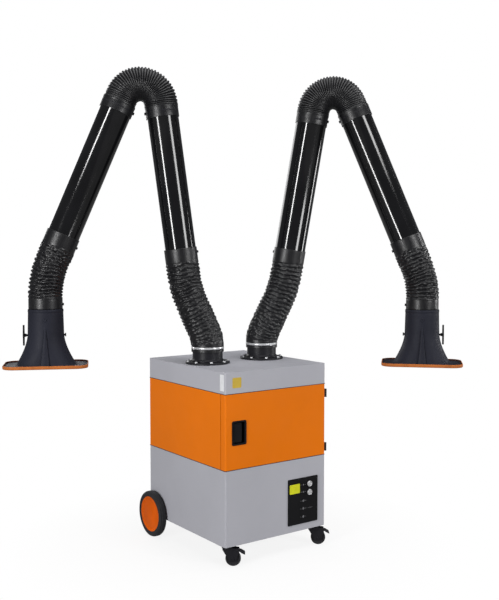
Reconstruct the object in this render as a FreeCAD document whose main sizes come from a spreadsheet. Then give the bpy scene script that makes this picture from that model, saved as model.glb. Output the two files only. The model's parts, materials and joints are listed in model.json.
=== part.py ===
import FreeCAD, Part
import Sketcher
import math
import os
from types import SimpleNamespace

from FreeCAD import Placement, Rotation, Vector

# Mobile welding-fume filter unit: a wheeled sheet-metal cabinet with a filter chamber over a fan
# compartment, and two jointed extraction arms on its lid.
# Frame: origin on the floor under the cabinet's centre, front face towards -Y, +Z up. Millimetres.

doc = FreeCAD.newDocument("FumeFilterUnit")

# ---------------------------------------------------------------- driving dimensions
VALUES = {
    # cabinet
    "cab_wide": 620,
    "cab_deep": 720,
    "cab_tall": 840,
    "under_gap": 105,
    "bend": 8,
    "skin": 2,
    "seam": 1.5,
    "lower_tall": 371,
    "band_top": 734,
    "lip_wide": 25,
    "door_deep": 36,
    "gasket_thick": 3.6,
    "hinge_tall": 42,
    "knuckle_rad": 6,
    "hinge_pin_rad": 3,
    "cup_wide": 84,
    "cup_tall": 118,
    "cup_deep": 28,
    # fan and filter
    "fan_rad": 150,
    "scroll_rad": 190,
    "scroll_tall": 150,
    "inlet_rad": 115,
    "shaft_rad": 9.5,
    "fan_centre": 20,
    "filter_wide": 540,
    "filter_long": 580,
    "filter_tall": 300,
    "pleat_pitch": 33,
    # control panel
    "panel_wide": 191,
    "panel_tall": 234,
    "panel_thick": 4,
    "button_rad": 11.5,
    "button_travel": 3,
    # running gear
    "wheel_rad": 120,
    "wheel_wide": 42,
    "rim_rad": 92,
    "axle_rad": 10,
    "caster_rad": 37.5,
    "caster_wide": 24,
    "caster_trail": 30,
    "caster_bolt": 4,
    "run_gap": 0.05,
    "gap": 0.3,
    # arms
    "duct_rad": 77,
    "duct_wall": 2,
    "duct_long": 760,
    "hose_wall": 3.2,
    "hose_over": 52,
    "flange_rad": 114,
    "flange_thick": 10,
    "bolt_circle": 102,
    "collar_top": 95,
    "plate_thick": 4,
    "pivot_rad": 4,
    "elbow_bend": 100,
    "wrist_bend": 460,
    "neck_top": 285,
    "neck_base": 107,
    "mouth_long": 410,
    "mouth_wide": 260,
    "damper_level": 157,
}

ARM_SPREAD = 172.0
SHOULDER_REACH = 35.0
SHOULDER_LEVEL = 180.0
LOWER_OFFSET = 50.0
LOWER_START = 363.0
ELBOW_REACH = 138.0
ELBOW_LEVEL = 1205.0
UPPER_OFFSET = 82.0
UPPER_START = 90.0
WRIST_DROP = 1033.0
NECK_BELOW = 153.0
BEND_LEVEL = 1150.0
BEND_DROP = -53.0
BEND_CLEAR = 40.0
LUG_CLEAR = 43.0
RING_GAP = 0.3
STAVES = 8
ARMS = {
    "left": SimpleNamespace(side=-1, azimuth=154.0, lean=7.4, spread=23.0),
    "right": SimpleNamespace(side=1, azimuth=-46.0, lean=9.5, spread=22.5),
}
CASTER_HEADING = -36.0
CASTER_REACH = 268.0
CASTER_FRONT = -312.0
WHEEL_BACK = 290.0


class Dim:
    """A length together with the spreadsheet expression that gives it."""

    def __init__(self, value, text):
        self.value = float(value)
        self.text = text

    def __float__(self):
        return self.value

    def _join(self, other, sign, value, swap=False):
        theirs = other.text if isinstance(other, Dim) else repr(float(other))
        first, second = (theirs, self.text) if swap else (self.text, theirs)
        return Dim(value, "(%s %s %s)" % (first, sign, second))

    def __add__(self, other):
        return self._join(other, "+", self.value + float(other))

    def __radd__(self, other):
        return self._join(other, "+", float(other) + self.value, True)

    def __sub__(self, other):
        return self._join(other, "-", self.value - float(other))

    def __rsub__(self, other):
        return self._join(other, "-", float(other) - self.value, True)

    def __mul__(self, other):
        return self._join(other, "*", self.value * float(other))

    def __rmul__(self, other):
        return self._join(other, "*", float(other) * self.value, True)

    def __truediv__(self, other):
        return self._join(other, "/", self.value / float(other))

    def __neg__(self):
        return Dim(-self.value, "(0 - %s)" % self.text)


def fill_sheet():
    sheet = doc.addObject("Spreadsheet::Sheet", "Dims")
    cells = {}
    for row, (alias, value) in enumerate(VALUES.items(), start=1):
        sheet.set("A%d" % row, alias)
        sheet.set("B%d" % row, str(value))
        sheet.setAlias("B%d" % row, alias)
        cells[alias] = Dim(value, "Dims.%s" % alias)
    doc.recompute()
    return SimpleNamespace(**cells)


D = fill_sheet()
HALF_W = D.cab_wide / 2
HALF_D = D.cab_deep / 2
UNDER = D.under_gap
BAND_LOW = D.under_gap + D.lower_tall
BAND_HIGH = D.under_gap + D.band_top
TOP = D.under_gap + D.cab_tall
DOOR_BACK = D.door_deep - HALF_D
FRAME_FRONT = DOOR_BACK + D.gasket_thick + 0.4

X_AXIS = Vector(1, 0, 0)
Y_AXIS = Vector(0, 1, 0)
Z_AXIS = Vector(0, 0, 1)
TURN = {
    "X": Rotation(Y_AXIS, 90),
    "Y": Rotation(X_AXIS, -90),
    "Z": Rotation(),
}


# ---------------------------------------------------------------- modelling helpers
def bind(obj, name, length):
    """Give a property its value, through the spreadsheet where the length comes from there."""
    if isinstance(length, Dim):
        obj.setExpression(name, length.text)
    elif "." not in name:
        setattr(obj, name, length)


def box(label, low, size):
    obj = doc.addObject("Part::Box", label)
    obj.Placement.Base = Vector(*[float(v) for v in low])
    for name, length in zip(("Length", "Width", "Height"), size):
        setattr(obj, name, float(length))
        bind(obj, name, length)
    for name, length in zip(("x", "y", "z"), low):
        bind(obj, "Placement.Base." + name, length)
    return obj


def block(label, centre, size):
    """A box given by its centre in X and Y and by its lowest Z."""
    low = (centre[0] - size[0] / 2, centre[1] - size[1] / 2, centre[2])
    return box(label, low, size)


def rod(label, radius, length, start, along="Z"):
    obj = doc.addObject("Part::Cylinder", label)
    obj.Radius = float(radius)
    obj.Height = float(length)
    bind(obj, "Radius", radius)
    bind(obj, "Height", length)
    obj.Placement = Placement(Vector(*[float(v) for v in start]), TURN[along])
    return obj


def cone(label, low_radius, high_radius, height, start):
    obj = doc.addObject("Part::Cone", label)
    for name, length in (("Radius1", low_radius), ("Radius2", high_radius), ("Height", height)):
        setattr(obj, name, float(length))
        bind(obj, name, length)
    obj.Placement.Base = Vector(*[float(v) for v in start])
    return obj


def hexagon(label, radius, height, start, along="Z"):
    obj = doc.addObject("Part::Prism", label)
    obj.Polygon = 6
    obj.Circumradius = radius
    obj.Height = height
    obj.Placement = Placement(Vector(*[float(v) for v in start]), TURN[along])
    return obj


def fuse(label, pieces):
    obj = doc.addObject("Part::MultiFuse", label)
    obj.Shapes = pieces
    return obj


def cut(label, base, tools):
    tool = tools[0] if len(tools) == 1 else fuse(label + "_tools", tools)
    obj = doc.addObject("Part::Cut", label)
    obj.Base = base
    obj.Tool = tool
    return obj


def common(label, base, tool):
    obj = doc.addObject("Part::Common", label)
    obj.Base = base
    obj.Tool = tool
    return obj


def compound(label, pieces):
    """Several like pieces in one node."""
    obj = doc.addObject("Part::Compound", label)
    obj.Links = pieces
    return obj


def new_sketch(body, role, height=0.0):
    sketch = body.newObject("Sketcher::SketchObject", body.Name + "_sketch")
    plane = [f for f in body.Origin.OriginFeatures if f.Role == role][0]
    sketch.AttachmentSupport = [(plane, "")]
    sketch.MapMode = "FlatFace"
    sketch.AttachmentOffset = Placement(Vector(0, 0, float(height)), Rotation())
    bind(sketch, "AttachmentOffset.Base.z", height)
    return sketch


def fix(sketch, kind, geometry, point, length):
    """Hold one coordinate of a sketch point at a length from the sketch origin."""
    if abs(float(length)) < 1e-9:
        axis = -2 if kind == "DistanceX" else -1
        sketch.addConstraint(Sketcher.Constraint("PointOnObject", geometry, point, axis))
        return
    index = sketch.addConstraint(Sketcher.Constraint(kind, geometry, point, float(length)))
    if isinstance(length, Dim):
        sketch.renameConstraint(index, "size%d" % index)
        sketch.setExpression("Constraints.size%d" % index, length.text)


def outline(sketch, points):
    """A closed outline of straight lines."""
    spots = [Vector(float(x), float(y), 0) for x, y in points]
    for number, spot in enumerate(spots):
        sketch.addGeometry(Part.LineSegment(spot, spots[(number + 1) % len(spots)]), False)
    for number in range(len(spots)):
        after = (number + 1) % len(spots)
        sketch.addConstraint(Sketcher.Constraint("Coincident", number, 2, after, 1))
    for number, (x, y) in enumerate(points):
        fix(sketch, "DistanceX", number, 1, x)
        fix(sketch, "DistanceY", number, 1, y)


def round_outline(sketch, half_x, half_y, radius):
    """A rectangle about the sketch origin with rounded corners."""
    fx, fy, r = float(half_x), float(half_y), float(radius)
    corners = [(fx - r, fy - r, 0), (r - fx, fy - r, 90), (r - fx, r - fy, 180), (fx - r, r - fy, 270)]
    arcs = []
    for x, y, start in corners:
        circle = Part.Circle(Vector(x, y, 0), Z_AXIS, r)
        sweep = (math.radians(start), math.radians(start + 90))
        arcs.append(sketch.addGeometry(Part.ArcOfCircle(circle, *sweep), False))
    lines = []
    for number in range(4):
        here = sketch.getPoint(arcs[number], 2)
        there = sketch.getPoint(arcs[(number + 1) % 4], 1)
        lines.append(sketch.addGeometry(Part.LineSegment(here, there), False))
    for number in range(4):
        line, after = lines[number], arcs[(number + 1) % 4]
        sketch.addConstraint(Sketcher.Constraint("Tangent", arcs[number], 2, line, 1))
        sketch.addConstraint(Sketcher.Constraint("Tangent", line, 2, after, 1))
    for arc in arcs[1:]:
        sketch.addConstraint(Sketcher.Constraint("Equal", arcs[0], arc))
    sketch.addConstraint(Sketcher.Constraint("Horizontal", lines[0]))
    sketch.addConstraint(Sketcher.Constraint("Vertical", lines[1]))
    index = sketch.addConstraint(Sketcher.Constraint("Radius", arcs[0], r))
    if isinstance(radius, Dim):
        sketch.renameConstraint(index, "corner")
        sketch.setExpression("Constraints.corner", radius.text)
    fix(sketch, "DistanceY", lines[0], 1, half_y)
    fix(sketch, "DistanceX", lines[1], 1, -half_x)
    fix(sketch, "DistanceY", lines[2], 1, -half_y)
    fix(sketch, "DistanceX", lines[3], 1, half_x)


def circles(sketch, radii, centre=(0.0, 0.0)):
    for radius in radii:
        ring = Part.Circle(Vector(centre[0], centre[1], 0), Z_AXIS, float(radius))
        number = sketch.addGeometry(ring, False)
        fix(sketch, "DistanceX", number, 3, centre[0])
        fix(sketch, "DistanceY", number, 3, centre[1])
        index = sketch.addConstraint(Sketcher.Constraint("Radius", number, float(radius)))
        if isinstance(radius, Dim):
            sketch.renameConstraint(index, "radius%d" % index)
            sketch.setExpression("Constraints.radius%d" % index, radius.text)


def pad(body, sketch, length, midplane=False):
    feature = body.newObject("PartDesign::Pad", body.Name + "_pad")
    feature.Profile = sketch
    feature.Length = float(length)
    bind(feature, "Length", length)
    feature.Midplane = midplane
    return feature


def slab(label, half_x, half_y, radius, low, height):
    """A rounded rectangular block about the Z axis."""
    body = doc.addObject("PartDesign::Body", label)
    sketch = new_sketch(body, "XY_Plane", low)
    round_outline(sketch, half_x, half_y, radius)
    pad(body, sketch, height)
    return body


def plate(label, role, points, thickness, height=0.0, midplane=True):
    """A flat plate cut to an outline on one of the body's origin planes."""
    body = doc.addObject("PartDesign::Body", label)
    sketch = new_sketch(body, role, height)
    outline(sketch, points)
    pad(body, sketch, thickness, midplane)
    return body


def ring(label, outer, inner, low, height):
    body = doc.addObject("PartDesign::Body", label)
    sketch = new_sketch(body, "XY_Plane", low)
    circles(sketch, (outer, inner))
    pad(body, sketch, height)
    return body


def turned(label, points):
    """A piece turned about Z from an outline of (radius, height) points."""
    body = doc.addObject("PartDesign::Body", label)
    sketch = new_sketch(body, "XZ_Plane")
    outline(sketch, points)
    feature = body.newObject("PartDesign::Revolution", body.Name + "_turn")
    feature.Profile = sketch
    feature.ReferenceAxis = (sketch, ["V_Axis"])
    feature.Angle = 360
    return body


def join_ends(sketch, first, second):
    """Make the two ends that already meet coincident."""
    for mine in (1, 2):
        for theirs in (1, 2):
            if sketch.getPoint(first, mine).distanceToPoint(sketch.getPoint(second, theirs)) < 0.01:
                sketch.addConstraint(Sketcher.Constraint("Coincident", first, mine, second, theirs))


def hose(label, inner, wall, path):
    """A hollow round pipe that starts upwards from the origin and follows a path in the XZ plane."""
    body = doc.addObject("PartDesign::Body", label)
    section = new_sketch(body, "XY_Plane")
    circles(section, (inner + wall, inner))
    spine = new_sketch(body, "XZ_Plane")
    for piece in path:
        spine.addGeometry(piece, False)
    for number in range(len(path) - 1):
        join_ends(spine, number, number + 1)
    feature = body.newObject("PartDesign::AdditivePipe", body.Name + "_pipe")
    feature.Profile = section
    feature.Spine = (spine, ["Edge%d" % (n + 1) for n in range(len(path))])
    return body


NODES = []


def node(obj, label, placement=None):
    """Name a finished sub-part, put it in its place and list it for export."""
    obj.Label = label
    if placement is not None:
        obj.Placement = placement
    NODES.append(obj)
    return obj


def at(x, y, z, rotation=None):
    return Placement(Vector(float(x), float(y), float(z)), rotation or Rotation())


# ---------------------------------------------------------------- cabinet
def plan_quarter(label, side):
    """The part of the cabinet's plan between two corner diagonals; sides count round from the front."""
    wide, deep = (float(HALF_W), float(HALF_D)) if side % 2 == 0 else (float(HALF_D), float(HALF_W))
    edge = [(-wide - 5, -deep - 5), (wide + 5, -deep - 5), (wide - 60, 60 - deep), (60 - wide, 60 - deep)]
    zone = plate(label, "XY_Plane", edge, 600, 0, False)
    zone.Placement = at(0, 0, 0, Rotation(Z_AXIS, 90 * side))
    return zone


def lower_housing():
    """Sheet box that holds the fan: a floor and four walls mitred at the corners.

    Four strips turn in along its top to carry the filter chamber.
    """
    tall = D.lower_tall - D.seam
    outer = slab("housing_outer", HALF_W, HALF_D, D.bend, UNDER, tall)
    inside = slab("housing_inside", HALF_W - D.skin, HALF_D - D.skin, D.bend - D.skin, UNDER - 5, tall + 10)
    panel_hole = box("panel_hole", (PANEL_X - 87, -HALF_D - 5, PANEL_Z - 108), (174, 15, 216))
    outlet = box("outlet_hole", (-255, HALF_D - 10, UNDER + 75), (510, 20, 260))
    axle_hole = rod("axle_hole", D.axle_rad + 0.5, 2 * HALF_W + 20, (-320, WHEEL_BACK, AXLE_Z), "X")
    gland_hole = rod("gland_hole", 10, 20, (GLAND_X, 350, GLAND_Z), "Y")
    walls = cut("housing_walls", outer, [inside, panel_hole, outlet, axle_hole, gland_hole])
    floor = slab("housing_floor", HALF_W - D.skin, HALF_D - D.skin, D.bend - D.skin, UNDER, D.skin)
    rim = slab(
        "housing_rim", HALF_W - D.skin, HALF_D - D.skin, D.bend - D.skin, UNDER + tall - D.skin, D.skin
    )
    mouth = slab(
        "housing_mouth", HALF_W - D.lip_wide, HALF_D - D.lip_wide, D.bend, UNDER + tall - 2 * D.skin, 3 * D.skin
    )
    strips = cut("housing_strips", rim, [mouth])
    sheets = [floor]
    for side in range(4):
        sheets.append(common("housing_wall", walls, plan_quarter("wall_quarter", side)))
        sheets.append(common("housing_strip", strips, plan_quarter("strip_quarter", side)))
    return node(compound("housing_sheets", sheets), "lower_housing")


def rear_panel():
    """Bolted-on outlet panel with two columns of pressed louvres."""
    sheet = box("rear_sheet", (-280, HALF_D, UNDER + 60), (560, D.skin, 290))
    slots = []
    hoods = []
    for column in (-1, 1):
        for row in range(7):
            low = UNDER + 92 + 34 * row
            centre = column * 128
            slots.append(box("louvre_slot", (centre - 100, HALF_D - 1, low), (200, 5, 12)))
            base = HALF_D + 1
            profile = [(base, low + 14), (base, low + 19), (base + 10, low + 4), (base + 8.4, low + 2.6)]
            hood = plate("louvre_hood", "YZ_Plane", profile, 204)
            hood.Placement = at(centre, 0, 0)
            hoods.append(hood)
    return node(fuse("rear_louvres", [cut("rear_slotted", sheet, slots)] + hoods), "rear_panel")


def filter_chamber():
    """Middle shell: two sides and a back, the partition with the fan inlet, and the door frame."""
    tall = BAND_HIGH - BAND_LOW
    outer = slab("chamber_outer", HALF_W, HALF_D, D.bend, BAND_LOW, tall)
    inner = slab(
        "chamber_inner", HALF_W - D.skin, HALF_D - D.skin, D.bend - D.skin, BAND_LOW - 5, tall + 10
    )
    front = box("chamber_front", (-400, -HALF_D - 50, BAND_LOW - 5), (800, FRAME_FRONT + HALF_D + 50, tall + 10))
    walls = cut("chamber_walls", outer, [inner, front])
    frame = box("door_frame", (-HALF_W, FRAME_FRONT, BAND_LOW), (D.cab_wide, D.skin, tall))
    doorway = box("doorway", (D.lip_wide - HALF_W, FRAME_FRONT - 5, BAND_LOW + 24), (D.cab_wide - 50, 20, tall - 45))
    front_cut = box("floor_front", (-400, -HALF_D - 50, 400), (800, FRAME_FRONT + HALF_D + 51, 500))
    floor = slab(
        "partition", HALF_W - D.skin, HALF_D - D.skin, D.bend - D.skin, BAND_LOW - D.seam, 2 * D.seam
    )
    rim = slab(
        "top_rim", HALF_W - D.skin, HALF_D - D.skin, D.bend - D.skin, BAND_HIGH - D.seam, 2 * D.seam
    )
    rim_hole = slab("top_rim_hole", HALF_W - 27, HALF_D - 27, 10, BAND_HIGH - 10, 20)
    inlet = rod("fan_inlet", D.inlet_rad, 30, (0, D.fan_centre, BAND_LOW - 10))
    seat = block("filter_seat", (0, D.fan_centre, BAND_LOW + 1), (524, 564, 23))
    seat_hole = block("filter_seat_hole", (0, D.fan_centre, BAND_LOW - 5), (480, 520, 40))
    pieces = [
        walls,
        cut("door_frame_open", frame, [doorway]),
        cut("partition_open", floor, [front_cut, inlet]),
        cut("top_rim_open", rim, [front_cut, rim_hole]),
        cut("filter_seat_open", seat, [seat_hole]),
    ]
    return node(fuse("chamber", pieces), "filter_chamber")


def top_cover():
    """Lid box that joins both arms to the filter chamber; its lower edge turns in."""
    low = BAND_HIGH + D.seam
    tall = TOP - low
    outer = slab("cover_outer", HALF_W, HALF_D, D.bend, low, tall)
    inside = slab(
        "cover_inside", HALF_W - D.skin, HALF_D - D.skin, D.bend - D.skin, low + D.skin, tall - 2 * D.skin
    )
    mouth = slab("cover_mouth", HALF_W - D.lip_wide, HALF_D - D.lip_wide, D.bend, low - 5, 10)
    tools = [inside, mouth]
    for arm in ARMS.values():
        tools.append(rod("duct_hole", 70, 20, (arm.side * ARM_SPREAD, 0, TOP - 10)))
        for spot in bolt_spots(arm):
            tools.append(rod("bolt_hole", 4.5, 20, (spot[0], spot[1], TOP - 10)))
    return node(cut("cover", outer, tools), "top_cover")


def bolt_spots(arm):
    """Centres of the eight bolts round one arm's flange."""
    spots = []
    for number in range(8):
        angle = math.radians(45 * number + 22.5)
        x = arm.side * ARM_SPREAD + float(D.bolt_circle) * math.cos(angle)
        spots.append((x, float(D.bolt_circle) * math.sin(angle)))
    return spots


def arm_flanges():
    """Bolted flange under each arm, with the spigot on which the arm turns."""
    flanges = []
    for arm in ARMS.values():
        x = arm.side * ARM_SPREAD
        disc = turned(
            "flange_disc",
            [
                (66, 0),
                (D.flange_rad, 0),
                (D.flange_rad, D.flange_thick - 2),
                (D.flange_rad - 2, D.flange_thick),
                (D.duct_rad - 5.1, D.flange_thick),
                (D.duct_rad - 5.1, D.flange_thick + 28),
                (66, D.flange_thick + 28),
            ],
        )
        disc.Placement = at(x, 0, TOP)
        holes = [rod("flange_hole", 4.5, 30, (s[0], s[1], TOP - 5)) for s in bolt_spots(arm)]
        flanges.append(cut("flange_drilled", disc, holes))
    return node(compound("flanges", flanges), "arm_flanges")


def flange_bolts():
    bolts = []
    face = TOP + D.flange_thick
    for arm in ARMS.values():
        for x, y in bolt_spots(arm):
            pieces = [
                rod("washer", 8, 1.6, (x, y, face)),
                hexagon("bolt_head", 7, 5.6, (x, y, face + 1)),
                rod("bolt_shank", 4, D.flange_thick + 10, (x, y, TOP - 9)),
                hexagon("bolt_nut", 7, 6.5, (x, y, TOP - D.skin - 6.5)),
            ]
            bolts.append(fuse("flange_bolt", pieces))
    return node(compound("bolts", bolts), "flange_bolts")


# ---------------------------------------------------------------- door
HINGE_X = 316.0
HINGE_Y = -356.0
CUP_X = -229.5
PANEL_X = 163.5
PANEL_Z = UNDER + 153
AXLE_Z = UNDER + 15
GLAND_X = 240.0
GLAND_Z = UNDER + 34
CUP_Z = UNDER + 546
HINGE_LEVELS = (UNDER + 387, UNDER + 665)


def door_panel():
    """Deep pan door: a skin with folded returns and an inward flange for the seal."""
    tall = BAND_HIGH - BAND_LOW
    outer = slab("door_round", HALF_W, HALF_D, D.bend, BAND_LOW, tall)
    slice_ = box("door_slice", (-400, -HALF_D - 5, BAND_LOW - 5), (800, D.door_deep + 5, tall + 10))
    inner = slab(
        "door_round_in", HALF_W - D.skin, HALF_D - D.skin, D.bend - D.skin, BAND_LOW + D.skin, tall - 2 * D.skin
    )
    slice_in = box("door_slice_in", (-400, -HALF_D - 5, BAND_LOW), (800, D.door_deep + 5 - D.skin, tall))
    back = box("door_back_hole", (D.lip_wide - HALF_W, DOOR_BACK - 10, BAND_LOW + 24), (D.cab_wide - 50, 20, tall - 45))
    cup_hole = block("cup_hole", (CUP_X, -HALF_D, CUP_Z - 54), (74, 20, 108))
    skin = cut(
        "door_skin",
        common("door_outer", outer, slice_),
        [common("door_inner", inner, slice_in), back, cup_hole],
    )
    return node(skin, "door_panel")


def door_gasket():
    """Rubber strip on the door's inward flange."""
    low = BAND_LOW + 4
    tall = BAND_HIGH - BAND_LOW - 8
    strip = box("gasket_blank", (4 - HALF_W, DOOR_BACK, low), (D.cab_wide - 8, D.gasket_thick, tall))
    hole = box("gasket_hole", (22 - HALF_W, DOOR_BACK - 5, low + 17), (D.cab_wide - 44, 20, tall - 34))
    return node(cut("gasket", strip, [hole]), "door_gasket")


def hinge_frame_leaves():
    """Outer leaves, knuckles and pins of both hinges, on the chamber's right side."""
    leaves = []
    third = D.hinge_tall / 4
    for low in HINGE_LEVELS:
        leaf = box("frame_leaf", (HALF_W, FRAME_FRONT + 4, low), (3, 34, D.hinge_tall))
        pieces = [leaf]
        for start in (low, low + 3 * third):
            knuckle = rod("frame_knuckle", D.knuckle_rad, third, (HINGE_X, HINGE_Y, start))
            arm = box("frame_leaf_arm", (HALF_W + 0.6, HINGE_Y, start), (2.4, FRAME_FRONT + 10 - HINGE_Y, third))
            pieces.extend([knuckle, arm])
        pieces.append(rod("hinge_pin", D.hinge_pin_rad, D.hinge_tall, (HINGE_X, HINGE_Y, low)))
        leaves.append(fuse("frame_hinge", pieces))
    return node(compound("frame_hinges", leaves), "hinge_frame_leaves")


def hinge_door_leaves():
    """Inner leaves of both hinges, on the door's right return."""
    leaves = []
    third = D.hinge_tall / 4
    for low in HINGE_LEVELS:
        start = low + third + D.gap
        tall = 2 * third - 2 * D.gap
        pad_block = box("door_leaf", (HALF_W, HINGE_Y, start), (4, 22, tall))
        knuckle = rod("door_knuckle", D.knuckle_rad, tall, (HINGE_X, HINGE_Y, start))
        bore = rod("door_knuckle_bore", D.hinge_pin_rad + D.run_gap, tall + 4, (HINGE_X, HINGE_Y, start - 2))
        leaves.append(cut("door_hinge", fuse("door_hinge_blank", [pad_block, knuckle]), [bore]))
    return node(compound("door_hinges", leaves), "hinge_door_leaves")


def handle_cup():
    """Black recessed cup in the door that the pull handle lies in."""
    face = slab("cup_face", D.cup_wide / 2, D.cup_tall / 2, 9, 0, 2.5)
    shell = slab("cup_shell", 36.5, 53.5, 6, -D.cup_deep, D.cup_deep)
    inside = slab("cup_inside", 34.5, 51.5, 4, 2 - D.cup_deep, D.cup_deep + 5)
    pin_hole = rod("cup_pin_hole", 2.5 + D.run_gap, 140, (-28, -70, -8), "Y")
    cup = cut("cup", fuse("cup_blank", [face, shell]), [inside, pin_hole])
    return node(cup, "handle_cup", at(CUP_X, -HALF_D, CUP_Z, Rotation(X_AXIS, 90)))


def door_handle():
    """Pull paddle on an upright pin, with the latch cam on the pin's lower end."""
    paddle = slab("handle_paddle", 23, 46, 6, -8, 5)
    paddle.Placement = at(-5, 0, 0)
    pieces = [
        rod("handle_pin", 2.5, 125, (-28, -71, -8), "Y"),
        rod("handle_barrel", 4, 96, (-28, -48, -8), "Y"),
        paddle,
        box("handle_cam", (-60, -71, -10), (34, 12, 4)),
    ]
    return node(fuse("handle", pieces), "door_handle", at(CUP_X, -HALF_D, CUP_Z, Rotation(X_AXIS, 90)))


# ---------------------------------------------------------------- filter and fan
def filter_cassette():
    """Open-ended frame of the main filter, on its raised seat."""
    low = BAND_LOW + 24
    outer = block("cassette_outer", (0, D.fan_centre, low), (D.filter_wide, D.filter_long, D.filter_tall))
    inner = block(
        "cassette_inner", (0, D.fan_centre, low - 5), (D.filter_wide - 12, D.filter_long - 12, D.filter_tall + 10)
    )
    return node(cut("cassette", outer, [inner]), "filter_cassette")


def filter_pleats():
    """Pleated filter medium that fills the cassette."""
    body = doc.addObject("PartDesign::Body", "pleats")
    sketch = new_sketch(body, "XZ_Plane")
    start = D.filter_wide / 2 - 6
    low = BAND_LOW + 30
    tall = D.filter_tall - 16
    fold = 12.0
    points = [
        (-start, low),
        (D.pleat_pitch / 2 - start, low + tall - fold),
        (D.pleat_pitch - start, low),
        (D.pleat_pitch - start, low + fold),
        (D.pleat_pitch / 2 - start, low + tall),
        (-start, low + fold),
    ]
    outline(sketch, points)
    first = pad(body, sketch, D.filter_long - 12, True)
    pattern = body.newObject("PartDesign::LinearPattern", "pleat_row")
    pattern.Originals = [first]
    pattern.Direction = (sketch, ["H_Axis"])
    pattern.Length = 15 * 33.0
    bind(pattern, "Length", 15 * D.pleat_pitch)
    pattern.Occurrences = 16
    body.Tip = pattern
    return node(body, "filter_pleats", at(0, D.fan_centre, 0))


def fan_scroll():
    """Spiral fan casing under the partition, blowing towards the louvres."""
    high = BAND_LOW - D.seam
    low = high - D.scroll_tall
    drum = rod("scroll_drum", D.scroll_rad, D.scroll_tall, (0, D.fan_centre, low))
    duct = box("scroll_duct", (40, D.fan_centre, low), (D.scroll_rad - 40, 325, D.scroll_tall - 30))
    drum_in = rod("scroll_drum_in", D.scroll_rad - D.skin, D.scroll_tall - 2 * D.skin, (0, D.fan_centre, low + D.skin))
    duct_in = box(
        "scroll_duct_in",
        (42, D.fan_centre, low + D.skin),
        (D.scroll_rad - 44, 340, D.scroll_tall - 30 - 2 * D.skin),
    )
    inlet = rod("scroll_inlet", D.inlet_rad, 20, (0, D.fan_centre, high - 10))
    motor_hole = rod("scroll_motor_hole", 40, 20, (0, D.fan_centre, low - 10))
    scroll = cut("scroll", fuse("scroll_blank", [drum, duct]), [drum_in, duct_in, inlet, motor_hole])
    return node(scroll, "fan_scroll")


def fan_motor():
    """Flange motor that stands on the housing floor under the scroll."""
    high = BAND_LOW - D.seam - D.scroll_tall
    floor = UNDER + D.skin
    foot = cone("motor_foot", 105, 75, 50, (0, D.fan_centre, floor))
    can = rod("motor_can", 88, high - floor - 60, (0, D.fan_centre, floor + 48))
    flange = rod("motor_flange", 100, 14, (0, D.fan_centre, high - 14))
    terminals = box("terminal_box", (-60, D.fan_centre - 118, floor + 90), (120, 60, 70))
    fins = [ring("motor_fin", 95, 60, floor + 62 + 12 * n, 4) for n in range(9)]
    for fin in fins:
        fin.Placement = at(0, D.fan_centre, 0)
    bore = rod("motor_bore", D.shaft_rad + D.run_gap, 140, (0, D.fan_centre, high - 100))
    motor = cut("motor", fuse("motor_blank", [foot, can, flange, terminals] + fins), [bore])
    return node(motor, "fan_motor")


def impeller():
    """Backward-bladed fan wheel with its shaft."""
    body = doc.addObject("PartDesign::Body", "wheel")
    shaft = new_sketch(body, "XY_Plane", -90)
    circles(shaft, (D.shaft_rad,))
    pad(body, shaft, 160)
    back = new_sketch(body, "XY_Plane", 12)
    circles(back, (D.fan_rad,))
    pad(body, back, 3)
    hub = new_sketch(body, "XY_Plane", 12)
    circles(hub, (30,))
    pad(body, hub, 40)
    blade = new_sketch(body, "XY_Plane", 14)
    outline(blade, [(70, 10), (73, 8), (D.fan_rad - 5, 50), (D.fan_rad - 6, 53.5)])
    blade_pad = pad(body, blade, 96)
    pattern = body.newObject("PartDesign::PolarPattern", "blades")
    pattern.Originals = [blade_pad]
    pattern.Axis = (blade, ["N_Axis"])
    pattern.Angle = 360
    pattern.Occurrences = 9
    body.Tip = pattern
    shroud = new_sketch(body, "XY_Plane", 109)
    circles(shroud, (D.fan_rad + 6, 100))
    pad(body, shroud, 3)
    return node(body, "impeller", at(0, D.fan_centre, BAND_LOW - D.seam - D.scroll_tall))


# ---------------------------------------------------------------- control panel
PANEL_PLACE = at(PANEL_X, -HALF_D, PANEL_Z, Rotation(X_AXIS, 90))
BUTTON_SPOTS = {"start_button": (39.0, 82.0), "stop_button": (39.0, 38.5)}
LAMP_SPOTS = ((-2, 82, 4), (-2, 45, 4), (-2, 0, 6.5), (-2, -40, 6.5), (-2, -81, 6.5), (42, -41, 3))


def control_panel():
    """Black operating panel with its enclosure behind the front wall."""
    face = slab("panel_face", D.panel_wide / 2, D.panel_tall / 2, 4, 0, D.panel_thick)
    case = slab("panel_case", 86, 107, 4, -38, 38)
    pieces = [face, case]
    tools = [block("display_seat", (-56, 67, 2.4), (66, 49, 10))]
    for x, y in BUTTON_SPOTS.values():
        pieces.append(rod("button_bezel", D.button_rad + 3, 4, (x, y, D.panel_thick)))
        tools.append(rod("button_well", D.button_rad + 0.5, 40, (x, y, -20)))
    return node(cut("panel", fuse("panel_blank", pieces), tools), "control_panel", PANEL_PLACE)


def panel_lenses():
    """Display window and the small indicator lenses."""
    window = box("display_window", (-88.5, 43, 2.4), (65, 48, 2.2))
    lenses = [window]
    for x, y, radius in LAMP_SPOTS:
        lenses.append(rod("lamp_lens", radius, 1.2, (x, y, D.panel_thick)))
    return node(compound("lenses", lenses), "panel_lenses", PANEL_PLACE)


def push_buttons():
    for label, (x, y) in BUTTON_SPOTS.items():
        button = turned(
            label + "_turned",
            [(0, -14), (D.button_rad, -14), (D.button_rad, 9.5), (D.button_rad - 2, 11), (0, 11.8)],
        )
        node(button, label, PANEL_PLACE * at(x, y, 0))


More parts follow.
